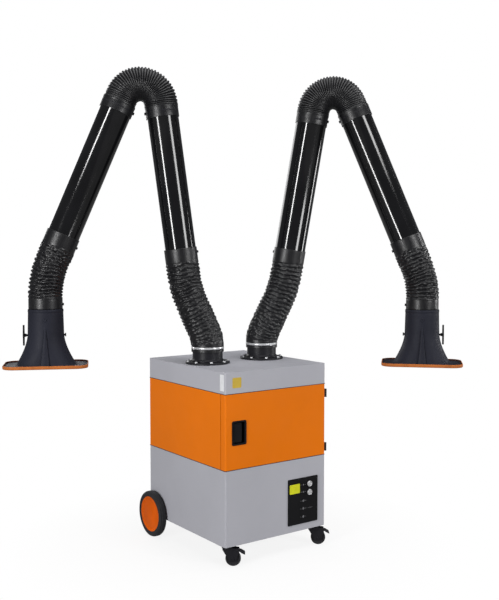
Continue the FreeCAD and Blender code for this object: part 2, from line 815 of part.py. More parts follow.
def cable_gland():
    """Gland for the mains lead, in the back wall."""
    pieces = [
        rod("gland_thread", 9.9, 16, (GLAND_X, 346, GLAND_Z), "Y"),
        hexagon("gland_nut", 14, 6, (GLAND_X, 352, GLAND_Z), "Y"),
        hexagon("gland_body", 14, 10, (GLAND_X, 360, GLAND_Z), "Y"),
        rod("gland_cap", 11.5, 24, (GLAND_X, 364, GLAND_Z), "Y"),
    ]
    bore = rod("gland_bore", 6.5, 60, (GLAND_X, 338, GLAND_Z), "Y")
    return node(cut("gland", fuse("gland_blank", pieces), [bore]), "cable_gland")


# ---------------------------------------------------------------- running gear
def rear_axle():
    """Through axle in two bearing blocks on the housing floor."""
    shaft = rod("axle_shaft", D.axle_rad, 695, (-347.5, WHEEL_BACK, AXLE_Z), "X")
    blocks = [box("axle_block", (x, WHEEL_BACK - 22, UNDER + D.skin), (26, 44, 28)) for x in (-300, 274)]
    return node(fuse("axle", [shaft] + blocks), "rear_axle")


def rear_wheels():
    wide = D.wheel_wide
    for label, side in (("left", -1), ("right", 1)):
        place = at(side * 314, WHEEL_BACK, AXLE_Z, Rotation(Y_AXIS, 90 * side))
        tyre = turned(
            "tyre_profile",
            [
                (D.rim_rad, 4),
                (D.rim_rad + 8, 1),
                (D.wheel_rad - 12, 0),
                (D.wheel_rad - 3, 5),
                (D.wheel_rad - 3, 10),
                (D.wheel_rad, 12),
                (D.wheel_rad, wide - 12),
                (D.wheel_rad - 3, wide - 10),
                (D.wheel_rad - 3, wide - 5),
                (D.wheel_rad - 12, wide),
                (D.rim_rad + 8, wide - 1),
                (D.rim_rad, wide - 4),
            ],
        )
        node(tyre, "tyre_" + label, place)
        disc = turned(
            "disc_profile",
            [
                (0, 34),
                (0, 40.5),
                (30, 40.5),
                (D.rim_rad - 14, 35.5),
                (D.rim_rad - 8, 39),
                (D.rim_rad - 0.05, 39),
                (D.rim_rad - 0.05, 4),
                (D.rim_rad - 6, 4),
                (D.rim_rad - 8, 31),
                (24, 33),
                (24, 2),
                (D.axle_rad + D.run_gap, 2),
                (D.axle_rad + D.run_gap, 34),
            ],
        )
        node(disc, "wheel_disc_" + label, place)


def casters():
    plates = []
    for label, side in (("left", -1), ("right", 1)):
        x = side * CASTER_REACH
        plate_ = block("caster_plate", (x, CASTER_FRONT, UNDER - 3), (76, 76, 3))
        king = rod("king_pin", 5, 20, (x, CASTER_FRONT, UNDER - 21))
        king_head = rod("king_head", 8, 4, (x, CASTER_FRONT, UNDER - 22.3))
        plates.append(fuse("caster_top", [plate_, king, king_head]))
        place = at(x, CASTER_FRONT, 0, Rotation(Z_AXIS, CASTER_HEADING))
        caster_fork(label, place)
        profile = [
            (D.caster_bolt + D.run_gap, -D.caster_wide / 2),
            (14, -D.caster_wide / 2),
            (16, 3 - D.caster_wide / 2),
            (28, 3 - D.caster_wide / 2),
            (30, -D.caster_wide / 2),
            (D.caster_rad - 4, -D.caster_wide / 2),
            (D.caster_rad, 5 - D.caster_wide / 2),
            (D.caster_rad, D.caster_wide / 2 - 5),
            (D.caster_rad - 4, D.caster_wide / 2),
            (30, D.caster_wide / 2),
            (28, D.caster_wide / 2 - 3),
            (16, D.caster_wide / 2 - 3),
            (14, D.caster_wide / 2),
            (D.caster_bolt + D.run_gap, D.caster_wide / 2),
        ]
        wheel = turned("caster_profile", profile)
        hub = place * at(D.caster_trail, 0, D.caster_rad, Rotation(X_AXIS, 90))
        node(wheel, "caster_wheel_" + label, hub)
        brake_pedal(label, place)
    return node(compound("caster_tops", plates), "caster_plates")


PEDAL_X = 52.0
PEDAL_Z = 78.0


def caster_fork(label, place):
    head = rod("fork_head", 25, 14.7, (0, 0, 87))
    king_bore = rod("fork_bore", 5 + D.run_gap, 60, (0, 0, 60))
    cheek = [(-19, 92), (-22, 84), (14, 24), (44, 24), (60, 72), (60, 86), (20, 92)]
    pieces = [head]
    for side in (-1, 1):
        wing = plate("fork_cheek", "XZ_Plane", cheek, 3)
        wing.Placement = at(0, side * 17, 0)
        pieces.append(wing)
    bolt = rod("fork_bolt", D.caster_bolt, 42, (D.caster_trail, -21, D.caster_rad), "Y")
    heads = [rod("fork_bolt_head", 7, 4, (D.caster_trail, y, D.caster_rad), "Y") for y in (-22, 18)]
    pin_bore = rod("pedal_bore", 3 + D.run_gap, 60, (PEDAL_X, -30, PEDAL_Z), "Y")
    fork = cut("fork", fuse("fork_blank", pieces + [bolt] + heads), [king_bore, pin_bore])
    node(fork, "caster_fork_" + label, place)


def brake_pedal(label, place):
    """Foot pedal of the caster brake, on its pin between the fork cheeks."""
    lever = plate(
        "pedal_lever",
        "XZ_Plane",
        [(46, 83), (55, 84), (86, 66), (88, 61), (84, 61), (58, 74), (48, 74)],
        30,
    )
    pin = rod("pedal_pin", 3, 38, (PEDAL_X, -19, PEDAL_Z), "Y")
    toe = plate("pedal_toe", "XZ_Plane", [(66, 77.6), (86, 66), (88, 61), (84, 61), (66, 70)], 42)
    node(fuse("pedal", [lever, pin, toe]), "brake_pedal_" + label, place)


# ---------------------------------------------------------------- extraction arms
def arm_frames(arm):
    """Frames of one arm: its base, its lower tube and its upper tube, with Y along the pivots."""
    base = at(arm.side * ARM_SPREAD, 0, TOP, Rotation(Z_AXIS, arm.azimuth))
    shoulder = base * at(SHOULDER_REACH, 0, SHOULDER_LEVEL, Rotation(Y_AXIS, arm.lean))
    elbow = shoulder * at(ELBOW_REACH, 0, ELBOW_LEVEL, Rotation(Y_AXIS, -arm.lean - arm.spread))
    wrist = elbow * at(UPPER_OFFSET, 0, -WRIST_DROP, Rotation(Y_AXIS, arm.spread))
    return SimpleNamespace(base=base, shoulder=shoulder, elbow=elbow, wrist=wrist)


def in_arm_plane(frames, place):
    """Reach and level of a placement's origin in its arm's own plane."""
    spot = frames.base.inverse().multVec(place.Base)
    return spot.x, spot.z


def pivot_plate(label, points, inner):
    """Mirrored pair of plates either side of the air path, from an outline in the arm's plane."""
    pair = []
    for side in (-1, 1):
        wing = plate(label, "XZ_Plane", points, D.plate_thick)
        wing.Placement = at(0, side * (inner + D.plate_thick.value / 2), 0)
        pair.append(wing)
    return pair


def round_end(x, z, radius, first, last, steps=6):
    """Points of a rounded plate end about a pivot, between two angles."""
    points = []
    for number in range(steps + 1):
        angle = math.radians(first + (last - first) * number / steps)
        points.append((x + radius * math.cos(angle), z + radius * math.sin(angle)))
    return points


def studs(x, z, inner, outer):
    """Welded pivot studs with a retaining cap on each end, on both sides of the air path."""
    pieces = []
    for side in (-1, 1):
        low = min(side * inner, side * outer)
        span = outer - inner
        pieces.append(rod("stud", D.pivot_rad, span, (x, low, z), "Y"))
        for face in (inner, outer):
            pieces.append(rod("stud_cap", 7.5, 2.5, (x, side * face - 1.25, z), "Y"))
    return pieces


INNER_PLATE = 40.0
OUTER_PLATE = 44.3


def swivel_collar(label, frames):
    """Collar that turns on the flange spigot and carries the shoulder lugs."""
    tube = turned(
        "collar_tube",
        [
            (D.duct_rad - 5, D.flange_thick + D.gap),
            (D.duct_rad + 5, D.flange_thick + D.gap),
            (D.duct_rad + 5, D.flange_thick + 6),
            (D.duct_rad, D.flange_thick + 14),
            (D.duct_rad, D.collar_top),
            (D.duct_rad - 5, D.collar_top),
        ],
    )
    reach, level = SHOULDER_REACH, SHOULDER_LEVEL
    side = [(18, 100), (18, 46), (56, 46), (56, 88), (reach + 14, 112)]
    lugs = pivot_plate("shoulder_lug", side + round_end(reach, level, 14, 0, 180), OUTER_PLATE)
    pads = [
        box("lug_pad", (40, y, 46), (16, 8, 40))
        for y in (OUTER_PLATE, -OUTER_PLATE - 8)
    ]
    post = common("lug_pads_in", fuse("lug_pads", pads), rod("collar_core", D.duct_rad - 1, 60, (0, 0, 40)))
    pins = studs(reach, level, 38.4, 49.5)
    collar = fuse("collar", [tube, post] + lugs + pins)
    return node(collar, "swivel_collar_" + label, frames.base)


def base_clamp(label, frames):
    """Worm-drive clamp band round the foot of the lower hose."""
    grip = D.duct_rad + D.gap + D.hose_wall + 0.1
    band = ring("clamp_band", grip + 1.2, grip, 76, 10)
    case = box("clamp_case", (grip + 0.6, -11, 74.5), (9, 22, 13))
    screw = rod("clamp_screw", 3.6, 34, (grip + 5.5, -20, 81), "Y")
    head = hexagon("clamp_screw_head", 5, 5, (grip + 5.5, -24, 81), "Y")
    return node(fuse("clamp", [band, case, screw, head]), "base_clamp_" + label, frames.base)


def lower_hose(label, frames, arm):
    """Flexible hose from the swivel collar, past the shoulder pivot, to the lower tube."""
    start = 60.0
    along = Vector(math.sin(math.radians(arm.lean)), 0, math.cos(math.radians(arm.lean)))
    across = Vector(along.z, 0, -along.x)
    foot = Vector(SHOULDER_REACH, 0, SHOULDER_LEVEL) + across * LOWER_OFFSET
    meet = foot + along * 270
    end = foot + along * (LOWER_START + float(D.hose_over))
    bend = Part.BSplineCurve()
    knots = [
        Vector(0, 32, 0),
        Vector(SHOULDER_REACH - 5, SHOULDER_LEVEL - 10 - start, 0),
        Vector(SHOULDER_REACH + 38, SHOULDER_LEVEL + 112 - start, 0),
        Vector(meet.x, meet.z - start, 0),
    ]
    bend.interpolate(
        Points=knots, InitialTangent=Vector(0, 60, 0), FinalTangent=Vector(along.x * 130, along.z * 130, 0)
    )
    path = [
        Part.LineSegment(Vector(0, 0, 0), knots[0]),
        bend,
        Part.LineSegment(knots[-1], Vector(end.x, end.z - start, 0)),
    ]
    pipe = hose("lower_hose_pipe", D.duct_rad + D.gap, D.hose_wall, path)
    return node(pipe, "lower_hose_" + label, frames.base * at(0, 0, start))


def duct_tube(label, place, low):
    """A straight tube in lengthwise staves that meet edge to edge."""
    tube = ring("duct", D.duct_rad, D.duct_rad - D.duct_wall, 0, D.duct_long)
    reach = 1.3 * float(D.duct_rad)
    half = math.pi / STAVES
    corner = (reach * math.cos(half), reach * math.sin(half))
    staves = []
    for number in range(STAVES):
        sector = plate(
            "duct_sector", "XY_Plane", [(0, 0), (corner[0], -corner[1]), corner], D.duct_long, 0, False
        )
        sector.Placement = at(0, 0, 0, Rotation(Z_AXIS, 360 / STAVES * (number + 0.5)))
        staves.append(common("duct_stave", tube, sector))
    return node(compound("duct_staves", staves), label, place * at(0, 0, low))


def lower_frame(label, frames):
    """Plates and rings in both ends of the lower tube, from the shoulder to the elbow pivot.

    The elbow plates curve round the inner side of the hose's bend, so that they stay inside the hose.
    """
    seat = D.duct_rad - D.duct_wall - RING_GAP
    back = LOWER_OFFSET - 60
    front = back + 24
    foot_side = [(front, 0), (front, LOWER_START + 30), (back, LOWER_START + 30), (back, 0)]
    foot = pivot_plate("shoulder_link", foot_side + round_end(2, 0, 12, 180, 360)[1:-1], INNER_PLATE)
    foot_ring = ring("foot_ring", seat, seat - 3, LOWER_START + 6, 20)
    foot_ring.Placement = at(LOWER_OFFSET, 0, 0)
    top = LOWER_START + float(D.duct_long)
    near = LOWER_OFFSET + 36
    far = LOWER_OFFSET + float(D.elbow_bend) - BEND_CLEAR
    neck = [(near, top - 40), (far, top - 40)]
    neck += round_end(LOWER_OFFSET + float(D.elbow_bend), BEND_LEVEL, BEND_CLEAR, 180, 118, 4)
    neck += round_end(ELBOW_REACH, ELBOW_LEVEL, 14, -60, 180)
    head = pivot_plate("elbow_link", neck + [(near, top + 20)], INNER_PLATE)
    head_ring = ring("head_ring", seat, seat - 3, top - 28, 20)
    head_ring.Placement = at(LOWER_OFFSET, 0, 0)
    holes = [
        rod("shoulder_bore", D.pivot_rad + D.run_gap, 120, (0, -60, 0), "Y"),
        rod("elbow_bore", D.pivot_rad + D.run_gap, 120, (ELBOW_REACH, -60, ELBOW_LEVEL), "Y"),
    ]
    foot_part = cut("lower_frame_foot", fuse("lower_foot_blank", foot + [foot_ring]), [holes[0]])
    head_part = cut("lower_frame_head", fuse("lower_head_blank", head + [head_ring]), [holes[1]])
    return node(compound("lower_links", [foot_part, head_part]), "lower_frame_" + label, frames.shoulder)


def elbow_hose(label, frames, arm):
    """Ribbed elbow hose: straight over the lower tube, one round bend, straight over the upper tube."""
    bend = float(D.elbow_bend)
    over = float(D.hose_over)
    lower = frames.shoulder * at(LOWER_OFFSET, 0, LOWER_START + float(D.duct_long))
    upper = frames.elbow * at(UPPER_OFFSET, 0, -UPPER_START)
    lean = math.radians(arm.lean)
    out = math.radians(arm.spread)
    x1, z1 = in_arm_plane(frames, lower)
    x2, z2 = in_arm_plane(frames, upper)
    n1 = (math.cos(lean), -math.sin(lean))
    n2 = (math.cos(out), math.sin(out))
    right1 = x1 * n1[0] + z1 * n1[1] + bend
    right2 = x2 * n2[0] + z2 * n2[1] - bend
    det = n1[0] * n2[1] - n1[1] * n2[0]
    cx = (right1 * n2[1] - right2 * n1[1]) / det
    cz = (n1[0] * right2 - n2[0] * right1) / det
    rise = (cx - x1) * math.sin(lean) + (cz - z1) * math.cos(lean)
    fall = (x2 - cx) * math.sin(out) - (z2 - cz) * math.cos(out)
    turn = math.pi - lean - out
    first = over + rise
    last = over + fall
    centre = Vector(bend, first, 0)
    leave = Vector(bend - bend * math.cos(turn), first + bend * math.sin(turn), 0)
    tangent = Vector(math.sin(turn), math.cos(turn), 0)
    arc = Part.Arc(
        Vector(0, first, 0),
        centre + Vector(-math.cos(turn / 2), math.sin(turn / 2), 0) * bend,
        leave,
    )
    path = [Part.LineSegment(Vector(0, 0, 0), Vector(0, first, 0)), arc, Part.LineSegment(leave, leave + tangent * last)]
    pipe = hose("elbow_hose_pipe", D.duct_rad + D.gap, D.hose_wall, path)
    return node(pipe, "elbow_hose_" + label, lower * at(0, 0, -over))


def upper_frame(label, frames):
    """Plates and rings in both ends of the upper tube, from the elbow to the wrist pivot.

    The elbow plates curve round the inner side of the hose's bend, so that they stay inside the hose.
    """
    seat = D.duct_rad - D.duct_wall - RING_GAP
    bend_reach = UPPER_OFFSET - float(D.elbow_bend)
    near = bend_reach + LUG_CLEAR
    far = near + 26
    drop = -UPPER_START
    side = [(near, drop - 42), (far, drop - 42), (far, drop - 4)]
    side += round_end(0, 0, 14, 0, 250)
    side += round_end(bend_reach, BEND_DROP, LUG_CLEAR, 50, 0, 4)
    head = pivot_plate("elbow_lug", side, OUTER_PLATE)
    head_ring = ring("upper_head_ring", seat, seat - 5, drop - 30, 20)
    head_ring.Placement = at(UPPER_OFFSET, 0, 0)
    pins = studs(0, 0, 38.4, 49.5)
    foot = drop - float(D.duct_long)
    low_side = [
        (UPPER_OFFSET + 13, foot + 40),
        (UPPER_OFFSET - 13, foot + 40),
        (UPPER_OFFSET - 13, -WRIST_DROP),
    ]
    end = round_end(UPPER_OFFSET, -WRIST_DROP, 13, 180, 360)
    tail = pivot_plate("wrist_link", low_side + end[1:], 58.0)
    tail_ring = ring("upper_foot_ring", seat, seat - 3, foot + 8, 20)
    tail_ring.Placement = at(UPPER_OFFSET, 0, 0)
    pads = [box("wrist_pad", (UPPER_OFFSET - 13, y, foot + 8), (26, 13, 20)) for y in (60, -73)]
    wrist_bore = rod("wrist_bore", D.pivot_rad + D.run_gap, 160, (UPPER_OFFSET, -80, -WRIST_DROP), "Y")
    head_part = fuse("upper_frame_head", head + [head_ring] + pins)
    foot_part = cut("upper_frame_foot", fuse("upper_foot_blank", tail + [tail_ring] + pads), [wrist_bore])
    return node(compound("upper_links", [head_part, foot_part]), "upper_frame_" + label, frames.elbow)


def wrist_hose(label, frames, arm):
    """Flexible hose from the upper tube, past the wrist pivot, down to the hood's neck."""
    bend = float(D.wrist_bend)
    out = math.radians(arm.spread)
    over = float(D.hose_over)
    start = UPPER_START + float(D.duct_long) - over
    tangent_long = bend * math.tan(out / 2)
    first = WRIST_DROP - start - tangent_long
    down = Vector(-math.sin(out), math.cos(out), 0)
    corner = Vector(0, first + tangent_long, 0)
    leave = corner + down * tangent_long
    final = leave + down * (NECK_BELOW - 4 - tangent_long)
    centre = Vector(-bend, first, 0)
    middle = centre + Vector(math.cos(out / 2), math.sin(out / 2), 0) * bend
    path = [
        Part.LineSegment(Vector(0, 0, 0), Vector(0, first, 0)),
        Part.Arc(Vector(0, first, 0), middle, leave),
        Part.LineSegment(leave, final),
    ]
    pipe = hose("wrist_hose_pipe", D.duct_rad + D.gap, D.hose_wall, path)
    place = frames.elbow * at(UPPER_OFFSET, 0, -start, Rotation(X_AXIS, 180))
    return node(pipe, "wrist_hose_" + label, place)


def hood_bracket(label, frames):
    """Ring in the hood's neck with the two wrist plates, hung from the wrist pivot."""
    sleeve = ring("bracket_ring", D.duct_rad - 0.3, D.duct_rad - 4.3, -NECK_BELOW - 40, 80)
    side = [(-13, -NECK_BELOW + 36), (-13, 0)]
    end = round_end(0, 0, 13, 180, 0)
    wings = pivot_plate("bracket_wing", [(13, -NECK_BELOW + 6), (-13, -NECK_BELOW + 6)] + end, 62.3)
    pads = [box("bracket_pad", (-13, y, -NECK_BELOW + 6), (26, 9, 34)) for y in (65, -74)]
    pins = studs(0, 0, 56.4, 67.5)
    return node(fuse("bracket", [sleeve] + wings + pads + pins), "hood_bracket_" + label, frames.wrist)


def flare(label, shrink):
    """Skin of the hood's flare, from the round neck to the oblong mouth."""
    loft = doc.addObject("Part::Loft", label)
    sections = []
    shape = ((107, 90, 90, 88), (82, 97, 93, 88), (52, 113, 101, 84), (24, 140, 109, 78), (5, 158, 116, 74))
    for level, half_long, half_wide, radius in shape:
        sketch = doc.addObject("Sketcher::SketchObject", label + "_section")
        round_outline(sketch, half_long - shrink, half_wide - shrink, radius - shrink)
        sketch.Placement = at(0, 0, level)
        sections.append(sketch)
    loft.Sections = sections
    loft.Solid = True
    loft.Ruled = False
    return loft


def hood(label, place):
    """Moulded suction hood: a tapered neck, a flare and a flat flange round the mouth."""
    flange = slab("hood_flange", D.mouth_long / 2 - 6, D.mouth_wide / 2 - 6, 56, 5, 7)
    neck = cone("hood_neck", 90, 82.5, D.neck_top - D.neck_base, (0, 0, D.neck_base))
    rib = plate(
        "hood_rib",
        "YZ_Plane",
        [(-84, 216), (84, 216), (92, 107), (100, 60), (112, 24), (115, 10), (-115, 10), (-112, 24), (-100, 60), (-92, 107)],
        2.4,
    )
    nubs = [rod("hood_nub", 9, 6, (0, y, 206), "Y") for y in (-89, 83)]
    solid = fuse("hood_solid", [flange, neck, flare("hood_flare", 0.0), rib] + nubs)
    neck_in = cone("hood_neck_in", 87, 79, D.neck_top - D.neck_base - 40, (0, 0, D.neck_base))
    seat = rod("hood_seat", D.duct_rad + D.gap, 50, (0, 0, D.neck_top - 42))
    mouth = slab("hood_mouth", 155, 113, 71, -5, 10.5)
    bush = rod("damper_bush", 5 + D.run_gap, 240, (-120, 0, D.damper_level), "X")
    hollow = cut("hood_hollow", solid, [neck_in, seat, flare("hood_flare_in", 3.0), mouth, bush])
    return node(hollow, "hood_" + label, place)


def hood_lip(label, place):
    """Rubber edge strip round the hood's flange."""
    outer = slab("lip_outer", D.mouth_long / 2, D.mouth_wide / 2, 62, 0, 16)
    inner = slab("lip_inner", D.mouth_long / 2 - 13, D.mouth_wide / 2 - 13, 49, -5, 30)
    groove = slab("lip_groove", D.mouth_long / 2 - 6, D.mouth_wide / 2 - 6, 56, 5, 7)
    return node(cut("lip", outer, [inner, groove]), "hood_lip_" + label, place)


def damper(label, place):
    """Throttle flap in the hood's neck, on a shaft with an outside T-knob."""
    flap = rod("damper_flap", 76, 2.4, (0, -1.2, 0), "Y")
    shaft = rod("damper_shaft", 5, 204, (-94, 0, 0), "X")
    stop = rod("damper_stop", 9, 5, (-98, 0, 0), "X")
    hub = rod("damper_hub", 8, 14, (94, 0, 0), "X")
    wing = plate("damper_wing", "YZ_Plane", [(0, 51), (5, 20), (12, 0), (5, -20), (0, -51), (-5, -20), (-12, 0), (-5, 20)], 9)
    wing.Placement = at(107, 0, 0)
    return node(fuse("damper_parts", [flap, shaft, stop, hub, wing]), "damper_" + label, place)


def extraction_arm(label, arm):
    frames = arm_frames(arm)
    swivel_collar(label, frames)
    base_clamp(label, frames)
    lower_hose(label, frames, arm)
    duct_tube("lower_tube_" + label, frames.shoulder * at(LOWER_OFFSET, 0, 0), LOWER_START)
    lower_frame(label, frames)
    elbow_hose(label, frames, arm)
    duct_tube(
        "upper_tube_" + label,
        frames.elbow * at(UPPER_OFFSET, 0, 0),
        -UPPER_START - float(D.duct_long),
    )
    upper_frame(label, frames)
    wrist_hose(label, frames, arm)
    hood_bracket(label, frames)
    mouth = frames.wrist * at(0, 0, -NECK_BELOW - float(D.neck_top))
    hood(label, mouth)
    hood_lip(label, mouth)
    damper(label, mouth * at(0, 0, D.damper_level))


# ---------------------------------------------------------------- assembly
lower_housing()
rear_panel()
filter_chamber()
top_cover()
arm_flanges()
flange_bolts()
door_panel()
door_gasket()
hinge_frame_leaves()
hinge_door_leaves()
handle_cup()
door_handle()
filter_cassette()
filter_pleats()
fan_scroll()
fan_motor()
impeller()
control_panel()
panel_lenses()
push_buttons()
cable_gland()
rear_axle()
rear_wheels()
casters()
for arm_label, arm_values in ARMS.items():
    extraction_arm(arm_label, arm_values)
doc.recompute()

for obj in doc.Objects:
    if "Invalid" in obj.State or "Error" in obj.State:
        raise RuntimeError("%s is not built: %s" % (obj.Label, obj.State))
os.makedirs("parts", exist_ok=True)
for obj in NODES:
    if obj.Shape.isNull() or not obj.Shape.isValid() or not obj.Shape.Solids:
        raise RuntimeError("%s has no valid solid" % obj.Label)
    obj.Shape.exportStep("parts/%s.step" % obj.Label)
print("%d sub-parts written" % len(NODES))
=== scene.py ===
import json
import math
from bisect import bisect

import bmesh
import bpy
from mathutils import Matrix, Vector, noise

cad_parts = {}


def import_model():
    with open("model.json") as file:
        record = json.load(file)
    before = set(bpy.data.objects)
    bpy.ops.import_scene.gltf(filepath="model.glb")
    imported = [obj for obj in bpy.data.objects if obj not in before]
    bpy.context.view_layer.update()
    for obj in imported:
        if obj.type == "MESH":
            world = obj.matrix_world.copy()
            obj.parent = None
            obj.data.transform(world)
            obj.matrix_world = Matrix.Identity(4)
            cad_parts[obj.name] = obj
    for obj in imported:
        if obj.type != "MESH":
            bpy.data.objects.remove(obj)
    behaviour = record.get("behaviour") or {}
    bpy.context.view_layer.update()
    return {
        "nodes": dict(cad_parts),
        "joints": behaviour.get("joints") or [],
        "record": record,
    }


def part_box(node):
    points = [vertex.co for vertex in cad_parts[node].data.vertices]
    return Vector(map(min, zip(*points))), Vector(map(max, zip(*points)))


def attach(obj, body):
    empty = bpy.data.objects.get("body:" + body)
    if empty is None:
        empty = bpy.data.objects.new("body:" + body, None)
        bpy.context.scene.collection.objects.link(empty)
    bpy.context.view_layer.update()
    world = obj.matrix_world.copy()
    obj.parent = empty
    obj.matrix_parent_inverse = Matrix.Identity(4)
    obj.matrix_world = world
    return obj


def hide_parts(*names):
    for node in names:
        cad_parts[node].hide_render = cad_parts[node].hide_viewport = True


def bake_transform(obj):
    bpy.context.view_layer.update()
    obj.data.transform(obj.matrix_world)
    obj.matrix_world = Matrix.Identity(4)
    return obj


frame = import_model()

# A wheeled welding-fume extractor: a sheet-metal cabinet with two jointed extraction arms.
# The CAD nodes keep their places. The hoses, bands, stickers and trim are built here.

NODES = frame["nodes"]
JOINTS = {joint["name"]: joint for joint in frame["joints"]}
SIDES = ("left", "right")
UP = Vector((0, 0, 1))

# ---------------------------------------------------------------- sizes, in metres

TUBE_LENGTH = 0.760
TUBE_RADIUS = 0.077
TUBE_WALL = 0.002
TUBE_BEAD = 0.020              # the rolled bead's place from a tube's end, under the hose cuff
LOWER_OFFSET = 0.050           # the lower tube's line stands off the shoulder pivot
CUFF_RADIUS = 0.0803           # a hose's smooth end, over a tube
CUFF_LENGTH = 0.052            # how far a hose covers the tube
HOSE_WALL = 0.0026
ROUND_STEPS = 120              # points round a hose
ELBOW_RADIUS = 0.100           # centre line of the elbow hose's bend
ELBOW_CUFF = 0.056
ELBOW_PITCH = 0.0092
RIB_CREST = 0.0840
RIB_VALLEY = 0.0735
RIB_REACH = 0.60               # half a rib piece's length, in pitches, so that neighbours overlap
WRIST_RADIUS = 0.460           # centre line of the wrist hose's bend
WRIST_PITCH = 0.0175
HOSE_BELOW_WRIST = 0.149
STRAIGHT_BELOW_TUBE = 0.093    # the lower hose's straight end, outside its cuff
PATH_STEP = 0.002              # between two samples of a hose's line
STRAP_HALF = 0.0048            # half a clamp strap's width
STRAP_WALL = 0.0009
SCREW_LIFT = 0.0038            # a clamp screw's middle above its strap
CLAMP_LENGTH = 0.021           # the base clamp's place along the lower hose
LOWER_PITCH = 0.0205
COLLAR_OVERLAP = 0.060         # the lower hose starts this far above the lid
ROOM_LIGHT = 0.12              # how bright the room is to the object, and how bright the floor
FLOOR_GLOW = 0.22
METAL_SHARE = 0.5              # plated steel is half metal to the shader, so it keeps its pale tone
SEAL_HEIGHT = 0.0030           # the foam strips between the cabinet's shells, which also paint the shade of their joints
SEAL_PROUD = 0.0003
SEAL_DEPTH = 0.002
HOOD_BELOW_JOINT = 0.265       # from the hood's turning joint down to its mouth
MOUTH_LONG = 0.205             # half the lip's length and half its width
MOUTH_WIDE = 0.130
LIP_CORNER = 0.062
CORNER_STEPS = 24              # points round each corner of the hood's sections
BOSS_LEVEL = 0.236             # the round boss's middle above the mouth
PRINT_THICKNESS = 0.0004       # stickers and printed dashes
FLOOR_HALF = 30.0

DISPLAY = (-0.056, 0.067)      # the display's place from the middle of the control panel
PANEL_LAMPS = (                # each lamp's place from there, and its radius
    ("power_lamp", -0.002, 0.082, 0.0042),
    ("fault_lamp", -0.002, 0.045, 0.0042),
    ("fan_lamp", -0.002, 0.000, 0.0065),
    ("filter_lamp", -0.002, -0.040, 0.0065),
    ("service_lamp", -0.002, -0.081, 0.0065),
    ("small_lamp", 0.042, -0.041, 0.0030),
)


# ---------------------------------------------------------------- materials


class Finish:
    """A Principled material, with short calls for the nodes that vary it over the surface."""

    def __init__(self, name, roughness, metallic=0.0, coords="Object"):
        self.material = bpy.data.materials.new(name)
        self.material.use_nodes = True
        self.tree = self.material.node_tree
        self.shader = self.tree.nodes["Principled BSDF"]
        self.constant(Roughness=roughness, Metallic=metallic)
        self.coords = self.add("ShaderNodeTexCoord").outputs[coords]

    def add(self, kind, **settings):
        made = self.tree.nodes.new(kind)
        for key, value in settings.items():
            setattr(made, key, value)
        return made

    def link(self, source, target):
        self.tree.links.new(source, target)

    def stretched(self, scale):
        """The coordinates, with their own scale along each axis."""
        mapping = self.add("ShaderNodeMapping")
        mapping.inputs["Scale"].default_value = scale
        self.link(self.coords, mapping.inputs["Vector"])
        return mapping.outputs["Vector"]

    def noise(self, scale, detail=3.0, rough=0.55, stretch=(1, 1, 1)):
        made = self.add("ShaderNodeTexNoise")
        made.inputs["Scale"].default_value = scale
        made.inputs["Detail"].default_value = detail
        made.inputs["Roughness"].default_value = rough
        self.link(self.stretched(stretch), made.inputs["Vector"])
        return made.outputs["Fac"]

    def patches(self, noise, low, high, most=1.0):
        """0 where that noise is under low, rising to most where it's over high."""
        return self.spread(self.noise(*noise), low, high, 0, most)

    def cells(self, scale):
        made = self.add("ShaderNodeTexVoronoi")
        made.inputs["Scale"].default_value = scale
        self.link(self.coords, made.inputs["Vector"])
        return made.outputs["Distance"]

    def bands(self, scale, direction):
        made = self.add("ShaderNodeTexWave", bands_direction=direction, wave_profile="SIN")
        made.inputs["Scale"].default_value = scale
        self.link(self.coords, made.inputs["Vector"])
        return made.outputs["Fac"]

    def spread(self, source, low, high, out_low, out_high):
        """source, from low to high, as a value from out_low to out_high."""
        made = self.add("ShaderNodeMapRange", clamp=True)
        limits = (("From Min", low), ("From Max", high), ("To Min", out_low), ("To Max", out_high))
        for name, value in limits:
            made.inputs[name].default_value = value
        self.link(source, made.inputs["Value"])
        return made.outputs["Result"]

    def product(self, first, second):
        made = self.add("ShaderNodeMath", operation="MULTIPLY")
        self.link(first, made.inputs[0])
        self.link(second, made.inputs[1])
        return made.outputs[0]

    def blend(self, factor, first, second):
        """A colour that goes from first to second. Each is a colour or another node's output."""
        made = self.add("ShaderNodeMix", data_type="RGBA")
        self.link(factor, made.inputs["Factor"])
        for socket, value in ((made.inputs[6], first), (made.inputs[7], second)):
            if isinstance(value, tuple):
                socket.default_value = (*value, 1)
            else:
                self.link(value, socket)
        return made.outputs[2]

    def colour(self, source):
        self.link(source, self.shader.inputs["Base Color"])

    def roughen(self, source, low, high):
        """Roughness from low to high, as source goes over the middle of a noise's range."""
        self.link(self.spread(source, 0.3, 0.7, low, high), self.shader.inputs["Roughness"])

    def bump(self, source, height, strength=1.0):
        """Adds a bump of that height in metres on top of the ones before it."""
        made = self.add("ShaderNodeBump")
        made.inputs["Strength"].default_value = strength
        made.inputs["Distance"].default_value = height
        self.link(source, made.inputs["Height"])
        before = self.shader.inputs["Normal"].links
        if before:
            self.link(before[0].from_socket, made.inputs["Normal"])
        self.link(made.outputs["Normal"], self.shader.inputs["Normal"])

    def soften_edges(self, radius):
        """Folded and moulded edges catch the light as if they were rounded."""
        made = self.add("ShaderNodeBevel", samples=4)
        made.inputs["Radius"].default_value = radius
        self.link(made.outputs["Normal"], self.shader.inputs["Normal"])

    def constant(self, **values):
        """Sets the shader's own sockets, named with _ for a space."""
        for key, value in values.items():
            self.shader.inputs[key.replace("_", " ")].default_value = value


def shade(colour, factor):
    return tuple(min(1.0, channel * factor) for channel in colour)


